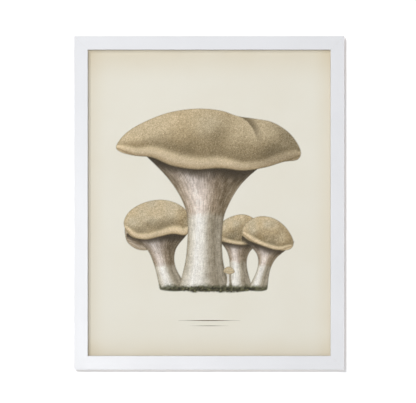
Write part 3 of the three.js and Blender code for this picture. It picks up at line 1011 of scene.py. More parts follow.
def draw_ground(drawing, left, right, level):
    """A low bank of dark moss that thins out upwards into the stems' feet."""
    across = (drawing.x - (left + right) / 2) / ((right - left) / 2)
    rough = drawing.wander(6.0, 53) * 2.2 + drawing.wander(2.4, 59) * 1.8
    arch = np.sqrt(np.clip(1 - across**2, 0, 1))
    top = level + 3.2 * arch + rough
    bottom = level + 2.5 - 9.0 * arch - rough * 0.3 + 1.4 * arch * drawing.wander(21.0, 77)
    body = smooth_step(-2.0, 3.2, top - drawing.z) * smooth_step(-1.0, 1.4, drawing.z - bottom)
    body = body * (np.abs(across) < 1.0)
    speckle = smooth_step(-0.9, 0.3, drawing.wander(2.0, 62) + 0.5 * drawing.wander(4.4, 68))
    ink = tones(drawing.wander(2.6, 72) + 0.35 * drawing.grain, *MOSS_TONES)
    phase = (drawing.x + 0.7 * drawing.z) / 3.1 + 1.2 * drawing.wander(5.0, 73)
    drawing.lay(body * (0.62 + 0.38 * speckle), ink, phase, 0.35, 0.6)


def draw_small_pair(drawing):
    """Two smaller mushrooms on the right, one behind the other."""
    behind = Stem(
        drawing,
        [(8, -48), (17, -62), (29, -80), (33, -104), (28, -139)],
        [(90, -48), (80, -64), (64, -82), (61, -104), (70, -139)],
    )
    draw_stem(drawing, behind, -98.0, 38, -62.0, 1.0)
    cast_shadow(drawing, [(8, -60), (30, -65), (60, -67), (90, -60)], 9.0, 0.6)
    draw_cap(
        drawing,
        [(10, -50), (17, -34), (36, -22), (58, -19), (78, -30),
         (88, -48), (80, -62), (56, -68), (32, -65), (16, -60)],
        [(11, -54), (30, -65), (56, -68), (78, -63), (87, -53)],
        8.0,
        [(40, -38, 20, 4)],
        0.07,
    )
    before = Stem(
        drawing,
        [(50, -52), (60, -64), (77, -84), (77, -108), (62, -139)],
        [(138, -62), (128, -73), (108, -90), (98, -110), (94, -139)],
    )
    draw_stem(drawing, before, -104.0, 40, -68.0, 1.04)
    cast_shadow(drawing, [(52, -56), (76, -67), (106, -75), (138, -74)], 9.0, 0.8)
    draw_cap(
        drawing,
        [(53, -46), (60, -32), (80, -22), (104, -25), (124, -40),
         (136, -62), (130, -75), (108, -76), (82, -68), (60, -58)],
        [(54, -50), (68, -61), (90, -71), (112, -76), (133, -70)],
        9.0,
        [(88, -40, 24, 4)],
        0.14,
    )


def draw_left_mushroom(drawing):
    """The smaller mushroom on the left."""
    stem = Stem(
        drawing,
        [(-134, -44), (-122, -56), (-100, -76), (-88, -104), (-80, -139)],
        [(-28, -42), (-38, -54), (-54, -76), (-54, -104), (-34, -139)],
    )
    draw_underside(
        drawing,
        [(-135, -38), (-118, -50), (-96, -54), (-78, -60),
         (-88, -72), (-104, -77), (-121, -73), (-134, -60)],
        (-72, -52),
        130,
    )
    draw_stem(drawing, stem, -104.0, 48, -56.0, 1.0)
    cast_shadow(drawing, [(-134, -52), (-104, -58), (-76, -54), (-30, -50)], 8.0, 0.8)
    draw_cap(
        drawing,
        [(-138, -34), (-129, -14), (-106, 0), (-78, 5), (-52, -1), (-34, -16), (-27, -38), (-38, -52),
         (-58, -50), (-78, -54), (-102, -59), (-126, -54)],
        [(-137, -40), (-122, -55), (-102, -59), (-78, -54), (-58, -50), (-40, -52), (-30, -42)],
        13.0,
        [(-98, -20, 28, 4), (-56, -20, 20, 4)],
        0.17,
    )


def draw_main_mushroom(drawing):
    """The broad mushroom in the middle."""
    stem = Stem(
        drawing,
        [(-112, 84), (-88, 62), (-64, 36), (-44, 4), (-35, -30), (-38, -90), (-50, -139)],
        [(112, 78), (80, 56), (52, 30), (32, -2), (22, -34), (22, -90), (34, -139)],
    )
    draw_stem(drawing, stem, -24.0, 50, 66.0, 1.05)
    cast_shadow(drawing, [(-110, 78), (-74, 66), (-30, 56), (14, 56), (50, 52), (112, 64)], 15.0, 1.1, 0.9)
    draw_cap(
        drawing,
        [(-150, 92), (-134, 113), (-104, 131), (-64, 146), (-20, 152), (18, 149), (46, 140), (72, 136),
         (102, 130), (130, 112), (147, 86), (143, 70), (120, 66), (90, 57), (54, 52), (18, 56), (-22, 54),
         (-60, 60), (-92, 73), (-120, 76), (-143, 82)],
        [(-149, 88), (-120, 77), (-92, 73), (-60, 60), (-22, 54), (18, 56), (54, 52), (90, 57), (120, 66),
         (146, 76)],
        21.0,
        [(-58, 112, 62, 9), (92, 106, 48, 7), (10, 124, 30, 4)],
        0.03,
    )
    draw_fold(drawing, [(47, 140), (60, 132), (70, 120), (76, 105), (76, 88)], 15.0)


def draw_button(drawing):
    """A tiny young mushroom at the foot."""
    stem = Stem(drawing, [(27, -108), (28, -122), (26, -138)], [(36, -108), (35, -122), (38, -138)])
    draw_stem(drawing, stem, -112.0, 8, -110.0)
    draw_cap(
        drawing,
        [(23, -111), (26, -105), (32, -103), (38, -106), (41, -112), (32, -115)],
        [(23, -112), (32, -115), (41, -112)],
        2.6,
        lift=0.3,
    )


def draw_mushroom_group(drawing):
    """A plain group: one broad mushroom, a smaller one on its left, two on its right and a button."""
    draw_small_pair(drawing)
    draw_left_mushroom(drawing)
    draw_main_mushroom(drawing)
    draw_button(drawing)
    draw_ground(drawing, -82, 96, -138)


def grid_lines(low, high, step):
    """Evenly spaced lines in millimetres."""
    return np.linspace(low, high, int(round((high - low) / step)) + 1)


def rim_fan(rim, start, end):
    """Triangles between a row of rim points and the two outer corners beyond it."""
    half = len(rim) // 2
    faces = []
    for i in range(len(rim) - 1):
        corner = start if i < half else end
        faces.append((rim[i], rim[i + 1], corner))
    faces.append((start, rim[half], end))
    return faces


def sheet_faces(index):
    """The sheet's faces: a grid in front, and the four corners in front and behind after its points."""
    first = index.size
    quads = np.stack([index[:-1, :-1], index[:-1, 1:], index[1:, 1:], index[1:, :-1]], axis=-1)
    faces = [tuple(quad) for quad in quads.reshape(-1, 4).tolist()]
    edges = [index[0, ::-1], index[::-1, -1], index[-1, :], index[:, 0]]
    ends = [(1, 0), (2, 1), (3, 2), (0, 3)]
    for rim, (start, end) in zip(edges, ends):
        faces += rim_fan(rim.tolist(), first + start, first + end)
    faces.append(tuple(first + 4 + i for i in (3, 2, 1, 0)))
    for i in range(4):
        j = (i + 1) % 4
        faces.append((first + i, first + 4 + i, first + 4 + j, first + j))
    return faces


def build_sheet(settings):
    """The printed sheet: a thin closed sheet whose front holds the drawing as attributes."""
    columns = grid_lines(*DRAWING_ACROSS, settings.grid_step / MM)
    rows = grid_lines(*DRAWING_UP, settings.grid_step / MM)
    drawing = Drawing(columns, rows, settings.seed)
    draw_mushroom_group(drawing)
    first = drawing.x.size
    points = np.zeros((first, 3))
    points[:, 0] = drawing.x.ravel() * MM
    points[:, 1] = SHEET_LOW.y
    points[:, 2] = drawing.z.ravel() * MM + CENTRE_Z
    left, right, low, high = SHEET_LOW.x, SHEET_HIGH.x, SHEET_LOW.z, SHEET_HIGH.z
    around = ((left, low), (right, low), (right, high), (left, high))
    corners = [(x, y, z) for y in (SHEET_LOW.y, SHEET_HIGH.y) for x, z in around]
    faces = sheet_faces(np.arange(first).reshape(drawing.x.shape))
    paper = printed_paper("Printed paper", settings)
    obj = mesh_object("printed_sheet", np.vstack([points, corners]), faces, paper)
    ink = np.zeros((first + 8, 4), np.float32)
    ink[:first, :3] = to_linear(drawing.ink.reshape(-1, 3)) * PRINT_DENSITY
    ink[:first, 3] = drawing.cover.ravel()
    marks = np.zeros((first + 8, 4), np.float32)
    for channel, values in enumerate((drawing.phase, drawing.lines, drawing.dots)):
        marks[:first, channel] = values.ravel()
    for name, values in (("ink", ink), ("marks", marks)):
        layer = obj.data.attributes.new(name, "FLOAT_COLOR", "POINT")
        layer.data.foreach_set("color", values.ravel())
    on_body(obj, BODY, "aged_paper", "print_sheet")


def to_linear(screen):
    """Screen colours of 0 to 255 as linear values."""
    share = np.clip(screen, 0, 255) / 255
    return np.where(share <= 0.04045, share / 12.92, ((share + 0.055) / 1.055) ** 2.4)


def build_rule():
    """The swelled rule under the drawing: a line that is thick in the middle, and a thinner one."""
    shape = bmesh.new()
    for centre, length, thick in RULE_LINES:
        outline = []
        for sign in (1, -1):
            for i in range(RULE_STEPS + 1):
                share = i / RULE_STEPS
                along = length * (share - 0.5) * sign
                swell = thick * 0.5 * (RULE_ENDS + (1 - RULE_ENDS) * math.sin(math.pi * share) ** 2)
                outline.append((along * MM, CENTRE_Z + (centre + sign * swell) * MM))
        prism(shape, outline, SHEET_LOW.y - 0.02 * MM, SHEET_LOW.y + 0.01 * MM)
    obj = bmesh_object("swelled_rule", shape, rule_ink("Rule ink"))
    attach(obj, BODY)


# ---------------------------------------------------------------- stack


def build_stack():
    """Finishes for the glazing, boards and corner nails, which keep the model's own shapes."""
    dress("glazing", clear_glazing("Clear glazing"))
    boards = {
        "mount_board": ("Mount card", colour(236, 230, 216), colour(206, 196, 174), 900.0, 0.85, 0.03 * MM),
        "filler_board": ("Foam board", colour(244, 244, 240), colour(226, 226, 220), 1400.0, 0.8, 0.04 * MM),
        "backing_board": ("Hardboard", colour(148, 110, 76), colour(112, 80, 52), 1900.0, 0.6, 0.05 * MM),
    }
    for node, finish in boards.items():
        dress(node, board(*finish))
    steel = plated_steel("Rolled steel", colour(150, 150, 152), 0.42)
    for node in sorted(frame["nodes"]):
        if node.startswith("v_nail_"):
            dress(node, steel)


# ---------------------------------------------------------------- back hardware


def pivot_of(body):
    """Where a body turns."""
    return Vector(next(joint for joint in frame["joints"] if joint["child"] == body)["pos_m"])


def bore_at(pivot, radius):
    """A short drum across the frame's back, to cut a pivot hole with."""
    shape = bmesh.new()
    upright = Matrix.Translation(pivot) @ Matrix.Rotation(math.pi / 2, 4, "X")
    bmesh.ops.create_cone(
        shape,
        cap_ends=True,
        segments=BORE_SIDES,
        radius1=radius,
        radius2=radius,
        depth=BORE_LENGTH,
        matrix=upright,
    )
    return bmesh_object("bore", shape)


def build_turn_buttons(settings, material):
    """Eight stamped steel turn buttons, each on its own body."""
    for spot in BUTTON_SPOTS:
        node = f"turn_button_{spot}"
        low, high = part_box(node)
        pivot = pivot_of(node)
        size = high - low
        middle = (low + high) / 2
        towards = Vector((middle.x - pivot.x, 0.0, middle.z - pivot.z)).normalized()
        sideways = Vector((-towards.z, 0.0, towards.x))
        pivot_radius = min(size.x, size.z) / 2
        length = max(size.x, size.z)
        tip_radius = pivot_radius * settings.tip_share
        tip_centre = length - pivot_radius - tip_radius
        slope = math.degrees(math.asin((pivot_radius - tip_radius) / tip_centre))
        outline = arc((0, tip_centre), tip_radius, slope, 180 - slope, 12)
        outline += arc((0, 0), pivot_radius, 180 - slope, 360 + slope, 20)
        places = [pivot + sideways * side + towards * along for side, along in outline]
        shape = bmesh.new()
        prism(shape, [(place.x, place.z) for place in places], low.y, high.y)
        obj = bmesh_object(f"{node}_plate", shape, material)
        cut_with(obj, bore_at(pivot, settings.pivot_bore))
        soften(obj, settings.edge_round)
        on_body(obj, node, "nickel_steel", node)


def sweep(shape, route, radius, sides, normal):
    """A round wire along a closed flat route whose plane has the given normal."""
    rings = []
    for i, middle in enumerate(route):
        ahead = (route[(i + 1) % len(route)] - route[i - 1]).normalized()
        out = ahead.cross(normal).normalized()
        angles = [2 * math.pi * k / sides for k in range(sides)]
        offsets = [out * radius * math.cos(angle) + normal * radius * math.sin(angle) for angle in angles]
        rings.append([shape.verts.new(middle + offset) for offset in offsets])
    for here, following in zip(rings, rings[1:] + rings[:1]):
        ring_band(shape, here, following)


def ring_route(width, height, corner):
    """The D-ring's centre line: a straight bar, small bends, two legs and a round arch."""
    side = width / 2
    points = [(side * i / 6, 0.0) for i in range(-3, 4)]
    points += arc((side - corner, corner), corner, -90, 0, 6)
    points += arc((0, height - side), side, 0, 180, 28)
    points += arc((corner - side, corner), corner, 180, 270, 6)
    return points


def folded_strap(pivot, low, high, leaf, bore):
    """A strap of one leaf, folded double round the ring's bar, with a round lower end."""
    half = (high.x - low.x) / 2
    middle_x = (low.x + high.x) / 2
    radius = bore + leaf / 2
    seat = low.y + leaf / 2
    turns = [math.radians(90 * i / 9) for i in range(10)]
    ends = [low.z + 0.04 * MM + half * (1 - math.cos(turn)) for turn in turns]
    ends += [low.z + half + (pivot.z - low.z - half) * i / 4 for i in (1, 2, 3)]
    lines = [(seat, z) for z in ends]
    wrap = arc((pivot.y, pivot.z), radius, 180, -40, 22)
    lines += wrap
    upper = seat + leaf * 1.04
    last_y, last_z = wrap[-1]
    lines.append(((last_y + upper) / 2, last_z - 0.9 * MM))
    lines += [(upper, z) for z in reversed(ends)]
    shape = bmesh.new()
    rows = []
    count = len(lines)
    for i in range(count):
        y, z = lines[i]
        before = Vector(lines[max(i - 1, 0)])
        after = Vector(lines[min(i + 1, count - 1)])
        ahead = (after - before).normalized()
        out = Vector((-ahead.y, ahead.x))
        from_end = z - low.z
        width = half
        if from_end < half:
            width = math.sqrt(max(half**2 - (half - from_end) ** 2, 0.0))
        row = []
        for sign in (1, -1):
            edge = Vector((y, z)) + out * (sign * leaf / 2)
            for side in (-1, 1):
                row.append(shape.verts.new((middle_x + side * width, edge.x, edge.y)))
        rows.append(row)
    for here, following in zip(rows, rows[1:]):
        for a, b in ((0, 1), (1, 3), (3, 2), (2, 0)):
            shape.faces.new((here[a], here[b], following[b], following[a]))
    shape.faces.new([rows[0][k] for k in (0, 1, 3, 2)])
    shape.faces.new([rows[-1][k] for k in (2, 3, 1, 0)])
    return shape


def build_hangers(settings, material):
    """A folded strap on each stile, and the D-ring that swings in it."""
    for side in SIDES:
        strap = f"hanger_strap_{side}"
        ring = f"hanger_ring_{side}"
        pivot = pivot_of(ring)
        low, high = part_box(strap)
        leaf = settings.strap_leaf
        wire = settings.ring_wire / 2
        bore = (high.y - low.y) / 2 - leaf
        obj = bmesh_object(f"{strap}_leaf", folded_strap(pivot, low, high, leaf, bore), material)
        soften(obj, leaf * 0.18)
        on_body(obj, BODY, "nickel_steel", strap)
        ring_low, ring_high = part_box(ring)
        width = ring_high.x - ring_low.x - 2 * wire
        height = math.hypot(ring_high.z - wire - pivot.z, pivot.y - ring_low.y - wire)
        lean = math.asin((pivot.y - ring_low.y - wire) / height)
        tilt = Matrix.Rotation(lean, 3, "X")
        flat_route = ring_route(width, height, settings.ring_corner)
        route = [pivot + tilt @ Vector((x, 0.0, z)) for x, z in flat_route]
        shape = bmesh.new()
        sweep(shape, route, wire, WIRE_SIDES, tilt @ Vector((0.0, 1.0, 0.0)))
        obj = bmesh_object(f"{ring}_wire", shape, material)
        obj.data.shade_smooth()
        on_body(obj, ring, "nickel_steel", ring)


def screw_tree():
    """Geometry nodes: a pan-head screw with a cross recess on each point, turned at random."""
    tree = bpy.data.node_groups.new("Pan head screws", "GeometryNodeTree")
    sizes = (
        ("Head radius", 3 * MM),
        ("Head height", 2 * MM),
        ("Shank radius", 1.5 * MM),
        ("Shank length", 11 * MM),
        ("Recess width", 0.8 * MM),
    )
    tree.interface.new_socket("Geometry", in_out="INPUT", socket_type="NodeSocketGeometry")
    for label, default in sizes:
        socket = tree.interface.new_socket(label, in_out="INPUT", socket_type=FLOAT)
        socket.default_value = default
        socket.subtype = "DISTANCE"
    seed = tree.interface.new_socket("Seed", in_out="INPUT", socket_type="NodeSocketInt")
    seed.default_value = 4
    tree.interface.new_socket("Material", in_out="INPUT", socket_type="NodeSocketMaterial")
    tree.interface.new_socket("Geometry", in_out="OUTPUT", socket_type="NodeSocketGeometry")
    nodes = Nodes(tree)
    entry = nodes.add("NodeGroupInput").outputs
    leave = nodes.add("NodeGroupOutput").inputs

    def point(x=0.0, y=0.0, z=0.0):
        node = nodes.add("ShaderNodeCombineXYZ")
        for socket, value in zip(node.inputs, (x, y, z)):
            nodes.put(socket, value)
        return node.outputs[0]

    def moved(mesh, offset, scale=(1.0, 1.0, 1.0), turn=(0.0, 0.0, 0.0)):
        node = nodes.add("GeometryNodeTransform")
        nodes.put(node.inputs["Geometry"], mesh)
        nodes.put(node.inputs["Translation"], offset)
        nodes.put(node.inputs["Scale"], scale)
        nodes.put(node.inputs["Rotation"], turn)
        return node.outputs[0]

    def scaled(value, factor):
        return nodes.maths("MULTIPLY", value, factor)

    def boolean(operation, first, *others):
        node = nodes.add("GeometryNodeMeshBoolean", operation=operation, solver="EXACT")
        if operation == "DIFFERENCE":
            nodes.put(node.inputs["Mesh 1"], first)
            rest = others
        else:
            rest = (first, *others)
        for mesh in rest:
            nodes.put(node.inputs["Mesh 2"], mesh)
        return node.outputs["Mesh"]

    height = entry["Head height"]
    radius = entry["Head radius"]
    ball = nodes.add("GeometryNodeMeshUVSphere", {"Segments": 32, "Rings": 16, "Radius": 1.0})
    dome = moved(ball.outputs["Mesh"], (0, 0, 0), point(radius, radius, height))
    drum = nodes.add("GeometryNodeMeshCylinder", {"Vertices": 32})
    nodes.put(drum.inputs["Radius"], scaled(radius, 1.2))
    nodes.put(drum.inputs["Depth"], height)
    upper = moved(drum.outputs["Mesh"], point(0.0, 0.0, scaled(height, 0.52)))
    head = boolean("INTERSECT", dome, upper)
    head = moved(head, point(0.0, 0.0, scaled(height, -0.02)))
    shank = nodes.add("GeometryNodeMeshCylinder", {"Vertices": 20})
    nodes.put(shank.inputs["Radius"], entry["Shank radius"])
    body_length = scaled(entry["Shank length"], 0.72)
    nodes.put(shank.inputs["Depth"], body_length)
    sunk = nodes.maths("SUBTRACT", scaled(height, 0.25), scaled(body_length, 0.5))
    shaft = moved(shank.outputs["Mesh"], point(0.0, 0.0, sunk))
    solid = boolean("UNION", head, shaft)
    recess_depth = scaled(height, 0.9)
    recess_length = scaled(radius, 1.1)
    arms = []
    for across, along in ((entry["Recess width"], recess_length), (recess_length, entry["Recess width"])):
        box = nodes.add("GeometryNodeMeshCube")
        nodes.put(box.inputs["Size"], point(across, along, recess_depth))
        arms.append(moved(box.outputs["Mesh"], point(0.0, 0.0, height)))
    solid = boolean("DIFFERENCE", solid, *arms)
    turned = moved(solid, (0, 0, 0), (1, 1, 1), (-math.pi / 2, 0, 0))
    placed = nodes.add("GeometryNodeInstanceOnPoints")
    nodes.put(placed.inputs["Points"], entry["Geometry"])
    nodes.put(placed.inputs["Instance"], turned)
    spin = nodes.add("FunctionNodeRandomValue", data_type="FLOAT")
    spin.inputs[2].default_value = 0.0
    spin.inputs[3].default_value = math.pi
    nodes.put(spin.inputs["Seed"], entry["Seed"])
    turn = point(0.0, spin.outputs[1], 0.0)
    rotated = nodes.add("GeometryNodeRotateInstances")
    nodes.put(rotated.inputs["Instances"], placed.outputs[0])
    nodes.put(rotated.inputs["Rotation"], turn)
    real = nodes.add("GeometryNodeRealizeInstances")
    nodes.put(real.inputs[0], rotated.outputs[0])
    finished = nodes.add("GeometryNodeSetMaterial")
    nodes.put(finished.inputs["Geometry"], real.outputs[0])
    nodes.put(finished.inputs["Material"], entry["Material"])
    nodes.put(leave["Geometry"], finished.outputs[0])
    return tree


def build_screws(settings, material):
    """Every screw on the back, as one piece on the frame's body."""
    nodes = [n for n in sorted(frame["nodes"]) if "_screw_" in n]
    seats = []
    for node in nodes:
        low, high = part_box(node)
        middle = (low + high) / 2
        seats.append((middle.x, high.y - settings.head_height, middle.z))
    obj = mesh_object("back_screws", seats, [])
    modifier = obj.modifiers.new("Screws", "NODES")
    tree = screw_tree()
    modifier.node_group = tree
    values = {
        "Head radius": settings.head_radius,
        "Head height": settings.head_height,
        "Recess width": settings.recess_width,
        "Seed": settings.seed,
        "Material": material,
    }
    for item in tree.interface.items_tree:
        if item.in_out == "INPUT" and item.name in values:
            modifier[item.identifier] = values[item.name]
    apply_modifiers(obj)
    smooth_edges(obj, 30)
    on_body(obj, BODY, "nickel_steel", *nodes)


def build_bumpers(settings):
    """Two moulded rubber bumpers, domed a little with a flat contact face."""
    material = black_rubber("Bumper rubber")
    for side in SIDES:
        node = f"bumper_{side}"
        low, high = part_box(node)
        middle = (low + high) / 2
        foot = (high.x - low.x) / 2 - BUMPER_FOOT_ROUND
        height = high.y - low.y
        round_over = settings.round_over
        flat = (high.x - low.x) / 2 * BUMPER_FACE - round_over
        profile = [(0.0, 0.0), (foot, 0.0)]
        profile += arc((foot, BUMPER_FOOT_ROUND), BUMPER_FOOT_ROUND, -90, 0, 4)
        profile += arc((flat, height - round_over), round_over, 4, 90, 8)
        profile.append((0.0, height))
        shape = bmesh.new()
        rings = []
        for radius, up in profile:
            count = BUMPER_SIDES if radius else 1
            ring = []
            for k in range(count):
                angle = 2 * math.pi * k / count
                x = middle.x + radius * math.cos(angle)
                z = middle.z + radius * math.sin(angle)
                ring.append(shape.verts.new((x, low.y + up, z)))
            rings.append(ring)
        for lower, upper in zip(rings, rings[1:]):
            ring_band(shape, lower, upper)
        obj = bmesh_object(f"{node}_moulded", shape, material)
        smooth_edges(obj, 40)
        on_body(obj, BODY, "black_rubber", node)


# ---------------------------------------------------------------- stage


def wall_material(name, tint, glow):
    """A pale wall or floor that can't be seen from behind."""
    material, nodes, surface = new_material(name)
    output = material_output(nodes)
    surface.inputs["Base Color"].default_value = tint
    surface.inputs["Roughness"].default_value = 0.9
    surface.inputs["Emission Color"].default_value = (1.0, 1.0, 1.0, 1.0)
    surface.inputs["Emission Strength"].default_value = glow
    clear = nodes.add("ShaderNodeBsdfTransparent")
    behind = nodes.add("ShaderNodeNewGeometry").outputs["Backfacing"]
    nodes.put(output.inputs[0], nodes.blend(behind, surface, clear))
    return material


def flat_panel(name, corners, material):
    """A flat piece of the stage."""
    obj = mesh_object(name, corners, [(0, 1, 2, 3)], material)
    return obj


def aimed_light(name, kind, place, power, **settings):
    """A light, placed from the middle of the frame's face, that looks at it."""
    data = bpy.data.lights.new(name, kind)
    data.energy = power
    for key, value in settings.items():
        setattr(data, key, value)
    obj = bpy.data.objects.new(name, data)
    obj.location = Vector((0.0, FRONT_Y, CENTRE_Z)) + place
    obj.rotation_euler = (-place).to_track_quat("-Z", "Y").to_euler()
    bpy.context.scene.collection.objects.link(obj)
    return obj


def spot_light(name, place, power, cone, radius):
    """A spot light whose beam fades evenly from its middle to its edge."""
    beam = {"spot_size": math.radians(cone), "spot_blend": 1.0, "shadow_soft_size": radius}
    return aimed_light(name, "SPOT", place, power, **beam)


def build_world(settings):
    """Even light from all round, and a paler backdrop for what looks past the wall."""
    world = bpy.data.worlds.new("Studio")
    world.use_nodes = True
    nodes = Nodes(world.node_tree)
    background = world.node_tree.nodes["Background"]
    background.inputs["Color"].default_value = ROOM_TINT
    seen = nodes.add("ShaderNodeLightPath").outputs["Is Camera Ray"]
    strength = nodes.ramp(seen, 0.0, 1.0, settings.world_light, settings.backdrop)
    nodes.put(background.inputs["Strength"], strength)
    bpy.context.scene.world = world


def build_wall_and_floor(settings):
    """A small pale wall that the frame hangs on, and a wide pale floor."""
    wall_paint = wall_material("Wall", colour(250, 250, 251), settings.wall_glow)
    behind = MODEL_HIGH.y + WALL_GAP
    foot = [(-WALL_REACH, behind, FLOOR_Z), (WALL_REACH, behind, FLOOR_Z)]
    top = [(WALL_REACH, behind, WALL_REACH), (-WALL_REACH, behind, WALL_REACH)]
    panel = flat_panel("wall", foot + top, wall_paint)
    panel.visible_shadow = False
    floor_paint = wall_material("Floor", colour(244, 244, 244), settings.floor_glow)
    outline = [(-1, -1), (1, -1), (1, 1), (-1, 1)]
    flat_panel("floor", [(x * FLOOR_REACH, y * FLOOR_REACH, FLOOR_Z) for x, y in outline], floor_paint)


def build_lights(settings):
    """The studio lights. The sheen light is mirrored by the painted moulding alone."""
    aimed_light("key_light", "AREA", KEY_PLACE, settings.key_power, shape="SQUARE", size=settings.key_size)
    front_light = spot_light("front_light", FRONT_PLACE, settings.front_power, 60.0, 0.05)
    front_light.visible_glossy = False
    sheen_light = spot_light("sheen_light", SHEEN_PLACE, settings.sheen_power, 90.0, 0.08)
    sheen_light.visible_diffuse = False
    painted = bpy.data.collections.new("Painted moulding")
    for node in RAILS:
        painted.objects.link(bpy.data.objects[f"{node}_moulding"])
    sheen_light.light_linking.receiver_collection = painted
    look = {"shape": "SQUARE", "size": BACK_SIZE, "color": BACK_TINT}
    aimed_light("back_light", "AREA", BACK_PLACE, settings.back_power, **look)


def build_camera(settings):
    """The square-on camera."""
    lens = bpy.data.cameras.new("camera")
    lens.lens = LENS
    lens.sensor_width = SENSOR
    camera = bpy.data.objects.new("camera", lens)
    distance = settings.view_width * LENS / SENSOR
    camera.location = (settings.camera_right, FRONT_Y - distance, CENTRE_Z + settings.camera_up)
    camera.rotation_euler = (math.pi / 2, 0.0, 0.0)
    bpy.context.scene.collection.objects.link(camera)
    bpy.context.scene.camera = camera


def build_stage(settings):
    """The wall and floor, the studio light and the camera."""
    build_wall_and_floor(settings)
    build_lights(settings)
    build_world(settings)
    build_camera(settings)
    bpy.context.scene.view_settings.view_transform = "Standard"
    bpy.context.scene.view_settings.look = "None"


# ---------------------------------------------------------------- settings, operators and panel


class MouldingSettings(bpy.types.PropertyGroup):
    """The painted moulding."""

    arris: FloatProperty(
        name="Arris radius", description="Rounding of the long front edges",
        default=0.45 * MM, min=0.1 * MM, max=3 * MM, subtype="DISTANCE",
    )
    mitre_gap: FloatProperty(
        name="Mitre gap", description="Half the hairline between two mitred ends",
        default=0.04 * MM, min=0.0, max=1 * MM, subtype="DISTANCE",
    )
    paint_colour: FloatVectorProperty(
        name="Paint", description="Colour of the paint",
        default=(0.725, 0.729, 0.748), min=0.0, max=1.0, subtype="COLOR",
    )


class SheetSettings(bpy.types.PropertyGroup):
    """The printed sheet."""

    grid_step: FloatProperty(
        name="Drawing step", description="Spacing of the points that hold the drawing",
        default=1.0 * MM, min=0.8 * MM, max=5 * MM, subtype="DISTANCE",
    )
    seed: IntProperty(
        name="Seed", description="Seed of the drawing's irregular marks",
        default=11, min=0,
    )
    paper_colour: FloatVectorProperty(
        name="Paper", description="Colour of the middle of the sheet",
        default=(0.762, 0.735, 0.645), min=0.0, max=1.0, subtype="COLOR",
    )
    aged_colour: FloatVectorProperty(
        name="Aged paper", description="Colour of the yellowed edges",
        default=(0.66, 0.585, 0.44), min=0.0, max=1.0, subtype="COLOR",
    )
    edge_age: FloatProperty(
        name="Edge age", description="How far the edges have yellowed",
        default=0.8, min=0.0, max=1.0, subtype="FACTOR",
    )


class HardwareSettings(bpy.types.PropertyGroup):
    """The metal and rubber on the back."""

    tip_share: FloatProperty(
        name="Button tip", description="Radius of a turn button's tip as a share of its pivot end",
        default=0.71, min=0.3, max=1.0, subtype="FACTOR",
    )
    pivot_bore: FloatProperty(
        name="Button bore", description="Radius of the hole that a turn button swivels on",
        default=1.8 * MM, min=1.6 * MM, max=2.6 * MM, subtype="DISTANCE",
    )
    edge_round: FloatProperty(
        name="Button edge", description="Rounding of a turn button's edges",
        default=0.2 * MM, min=0.02 * MM, max=0.45 * MM, subtype="DISTANCE",
    )
    strap_leaf: FloatProperty(
        name="Strap leaf", description="Thickness of a hanger strap's leaf",
        default=0.8 * MM, min=0.4 * MM, max=1 * MM, subtype="DISTANCE",
    )
    ring_wire: FloatProperty(
        name="Ring wire", description="Diameter of a D-ring's wire",
        default=2.2 * MM, min=1 * MM, max=2.4 * MM, subtype="DISTANCE",
    )
    ring_corner: FloatProperty(
        name="Ring corner", description="Bend radius at a D-ring's two corners",
        default=1.8 * MM, min=0.5 * MM, max=3 * MM, subtype="DISTANCE",
    )
    head_radius: FloatProperty(
        name="Head radius", description="Radius of a screw's pan head",
        default=3 * MM, min=1 * MM, max=3 * MM, subtype="DISTANCE",
    )
    head_height: FloatProperty(
        name="Head height", description="Height of a screw's pan head",
        default=2 * MM, min=0.5 * MM, max=2 * MM, subtype="DISTANCE",
    )
    recess_width: FloatProperty(
        name="Recess width", description="Width of the cross recess's arms",
        default=0.8 * MM, min=0.3 * MM, max=1.5 * MM, subtype="DISTANCE",
    )
    round_over: FloatProperty(
        name="Bumper rounding", description="Rounding of a bumper's contact face",
        default=1.2 * MM, min=0.2 * MM, max=2 * MM, subtype="DISTANCE",
    )
    seed: IntProperty(
        name="Seed", description="Seed of the screws' random turn",
        default=4, min=0,
    )


class StageSettings(bpy.types.PropertyGroup):
    """Light, wall and camera."""

    key_power: FloatProperty(
        name="Key light", description="Power of the light at the upper left",
        default=132.0, min=0.0, unit="POWER",
    )
    key_size: FloatProperty(
        name="Key size", description="Side of the light at the upper left",
        default=0.9, min=0.05, subtype="DISTANCE",
    )
    front_power: FloatProperty(
        name="Front light", description="Power of the spot beside the camera",
        default=177.0, min=0.0, unit="POWER",
    )
    sheen_power: FloatProperty(
        name="Sheen light", description="Power of the light that only the satin paint mirrors",
        default=122.0, min=0.0, unit="POWER",
    )
    back_power: FloatProperty(
        name="Back light", description="Power of the light behind the wall",
        default=36.0, min=0.0, unit="POWER",
    )
    world_light: FloatProperty(
        name="Room light", description="Strength of the even light from all round",
        default=0.25, min=0.0,
    )
    backdrop: FloatProperty(
        name="Backdrop", description="Brightness of the backdrop past the wall",
        default=0.85, min=0.0,
    )
    wall_glow: FloatProperty(
        name="Wall glow", description="Light that the white wall gives of its own",
        default=0.22, min=0.0,
    )
    floor_glow: FloatProperty(
        name="Floor glow", description="Light that the pale floor gives of its own",
        default=0.1, min=0.0,
    )
    view_width: FloatProperty(
        name="View width", description="Width of what the camera sees at the frame's face",
        default=0.6693, min=0.1, subtype="DISTANCE",
    )
    camera_right: FloatProperty(
        name="Aim sideways", description="How far the camera stands right of the frame's middle",
        default=-2.0 * MM, subtype="DISTANCE",
    )
    camera_up: FloatProperty(
        name="Aim up", description="How far the camera stands above the frame's middle",
        default=2.1 * MM, subtype="DISTANCE",
    )


class BuildMoulding(bpy.types.Operator):
    """Build the four mitred lengths of painted moulding"""

    bl_idname = "framed_print.build_moulding"
    bl_label = "Moulding"

    def execute(self, context):
        build_moulding(context.scene.framed_moulding)
        return {"FINISHED"}


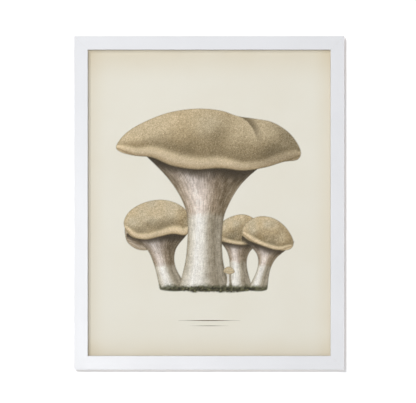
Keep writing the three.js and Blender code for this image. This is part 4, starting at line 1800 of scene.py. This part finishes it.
class BuildSheet(bpy.types.Operator):
    """Build the printed sheet and the rule under its drawing"""

    bl_idname = "framed_print.build_sheet"
    bl_label = "Printed sheet"

    def execute(self, context):
        build_sheet(context.scene.framed_sheet)
        build_rule()
        return {"FINISHED"}


class BuildStack(bpy.types.Operator):
    """Finish the glazing, the boards and the corner nails"""

    bl_idname = "framed_print.build_stack"
    bl_label = "Glazed stack"

    def execute(self, context):
        build_stack()
        return {"FINISHED"}


class BuildHardware(bpy.types.Operator):
    """Build the turn buttons, hangers, screws and bumpers"""

    bl_idname = "framed_print.build_hardware"
    bl_label = "Back hardware"

    def execute(self, context):
        settings = context.scene.framed_hardware
        nickel = plated_steel("Nickel plate", colour(208, 204, 196), 0.28)
        build_turn_buttons(settings, nickel)
        build_hangers(settings, nickel)
        build_screws(settings, nickel)
        build_bumpers(settings)
        return {"FINISHED"}


class BuildStage(bpy.types.Operator):
    """Build the wall, floor, lights and camera"""

    bl_idname = "framed_print.build_stage"
    bl_label = "Stage"

    def execute(self, context):
        build_stage(context.scene.framed_stage)
        return {"FINISHED"}


GROUPS = {
    "framed_moulding": MouldingSettings,
    "framed_sheet": SheetSettings,
    "framed_hardware": HardwareSettings,
    "framed_stage": StageSettings,
}
STEPS = (BuildMoulding, BuildSheet, BuildStack, BuildHardware, BuildStage)


class FramedPrintPanel(bpy.types.Panel):
    """Settings and steps of the framed print"""

    bl_idname = "VIEW3D_PT_framed_print"
    bl_label = "Framed Print"
    bl_space_type = "VIEW_3D"
    bl_region_type = "UI"
    bl_category = "Framed Print"

    def draw(self, context):
        for holder, group in GROUPS.items():
            box = self.layout.box()
            settings = getattr(context.scene, holder)
            for name in group.__annotations__:
                box.prop(settings, name)
        for step in STEPS:
            self.layout.operator(step.bl_idname)


CLASSES = (*GROUPS.values(), *STEPS, FramedPrintPanel)


def register():
    """Registers the classes and gives the scene their settings."""
    for item in CLASSES:
        bpy.utils.register_class(item)
    for holder, group in GROUPS.items():
        setattr(bpy.types.Scene, holder, PointerProperty(type=group))


def unregister():
    """Takes the settings and the classes away again."""
    for holder in GROUPS:
        delattr(bpy.types.Scene, holder)
    for item in reversed(CLASSES):
        bpy.utils.unregister_class(item)


def main():
    """Builds every piece and the stage."""
    register()
    bpy.ops.framed_print.build_moulding()
    bpy.ops.framed_print.build_sheet()
    bpy.ops.framed_print.build_stack()
    bpy.ops.framed_print.build_hardware()
    bpy.ops.framed_print.build_stage()


if __name__ == "__main__":
    main()
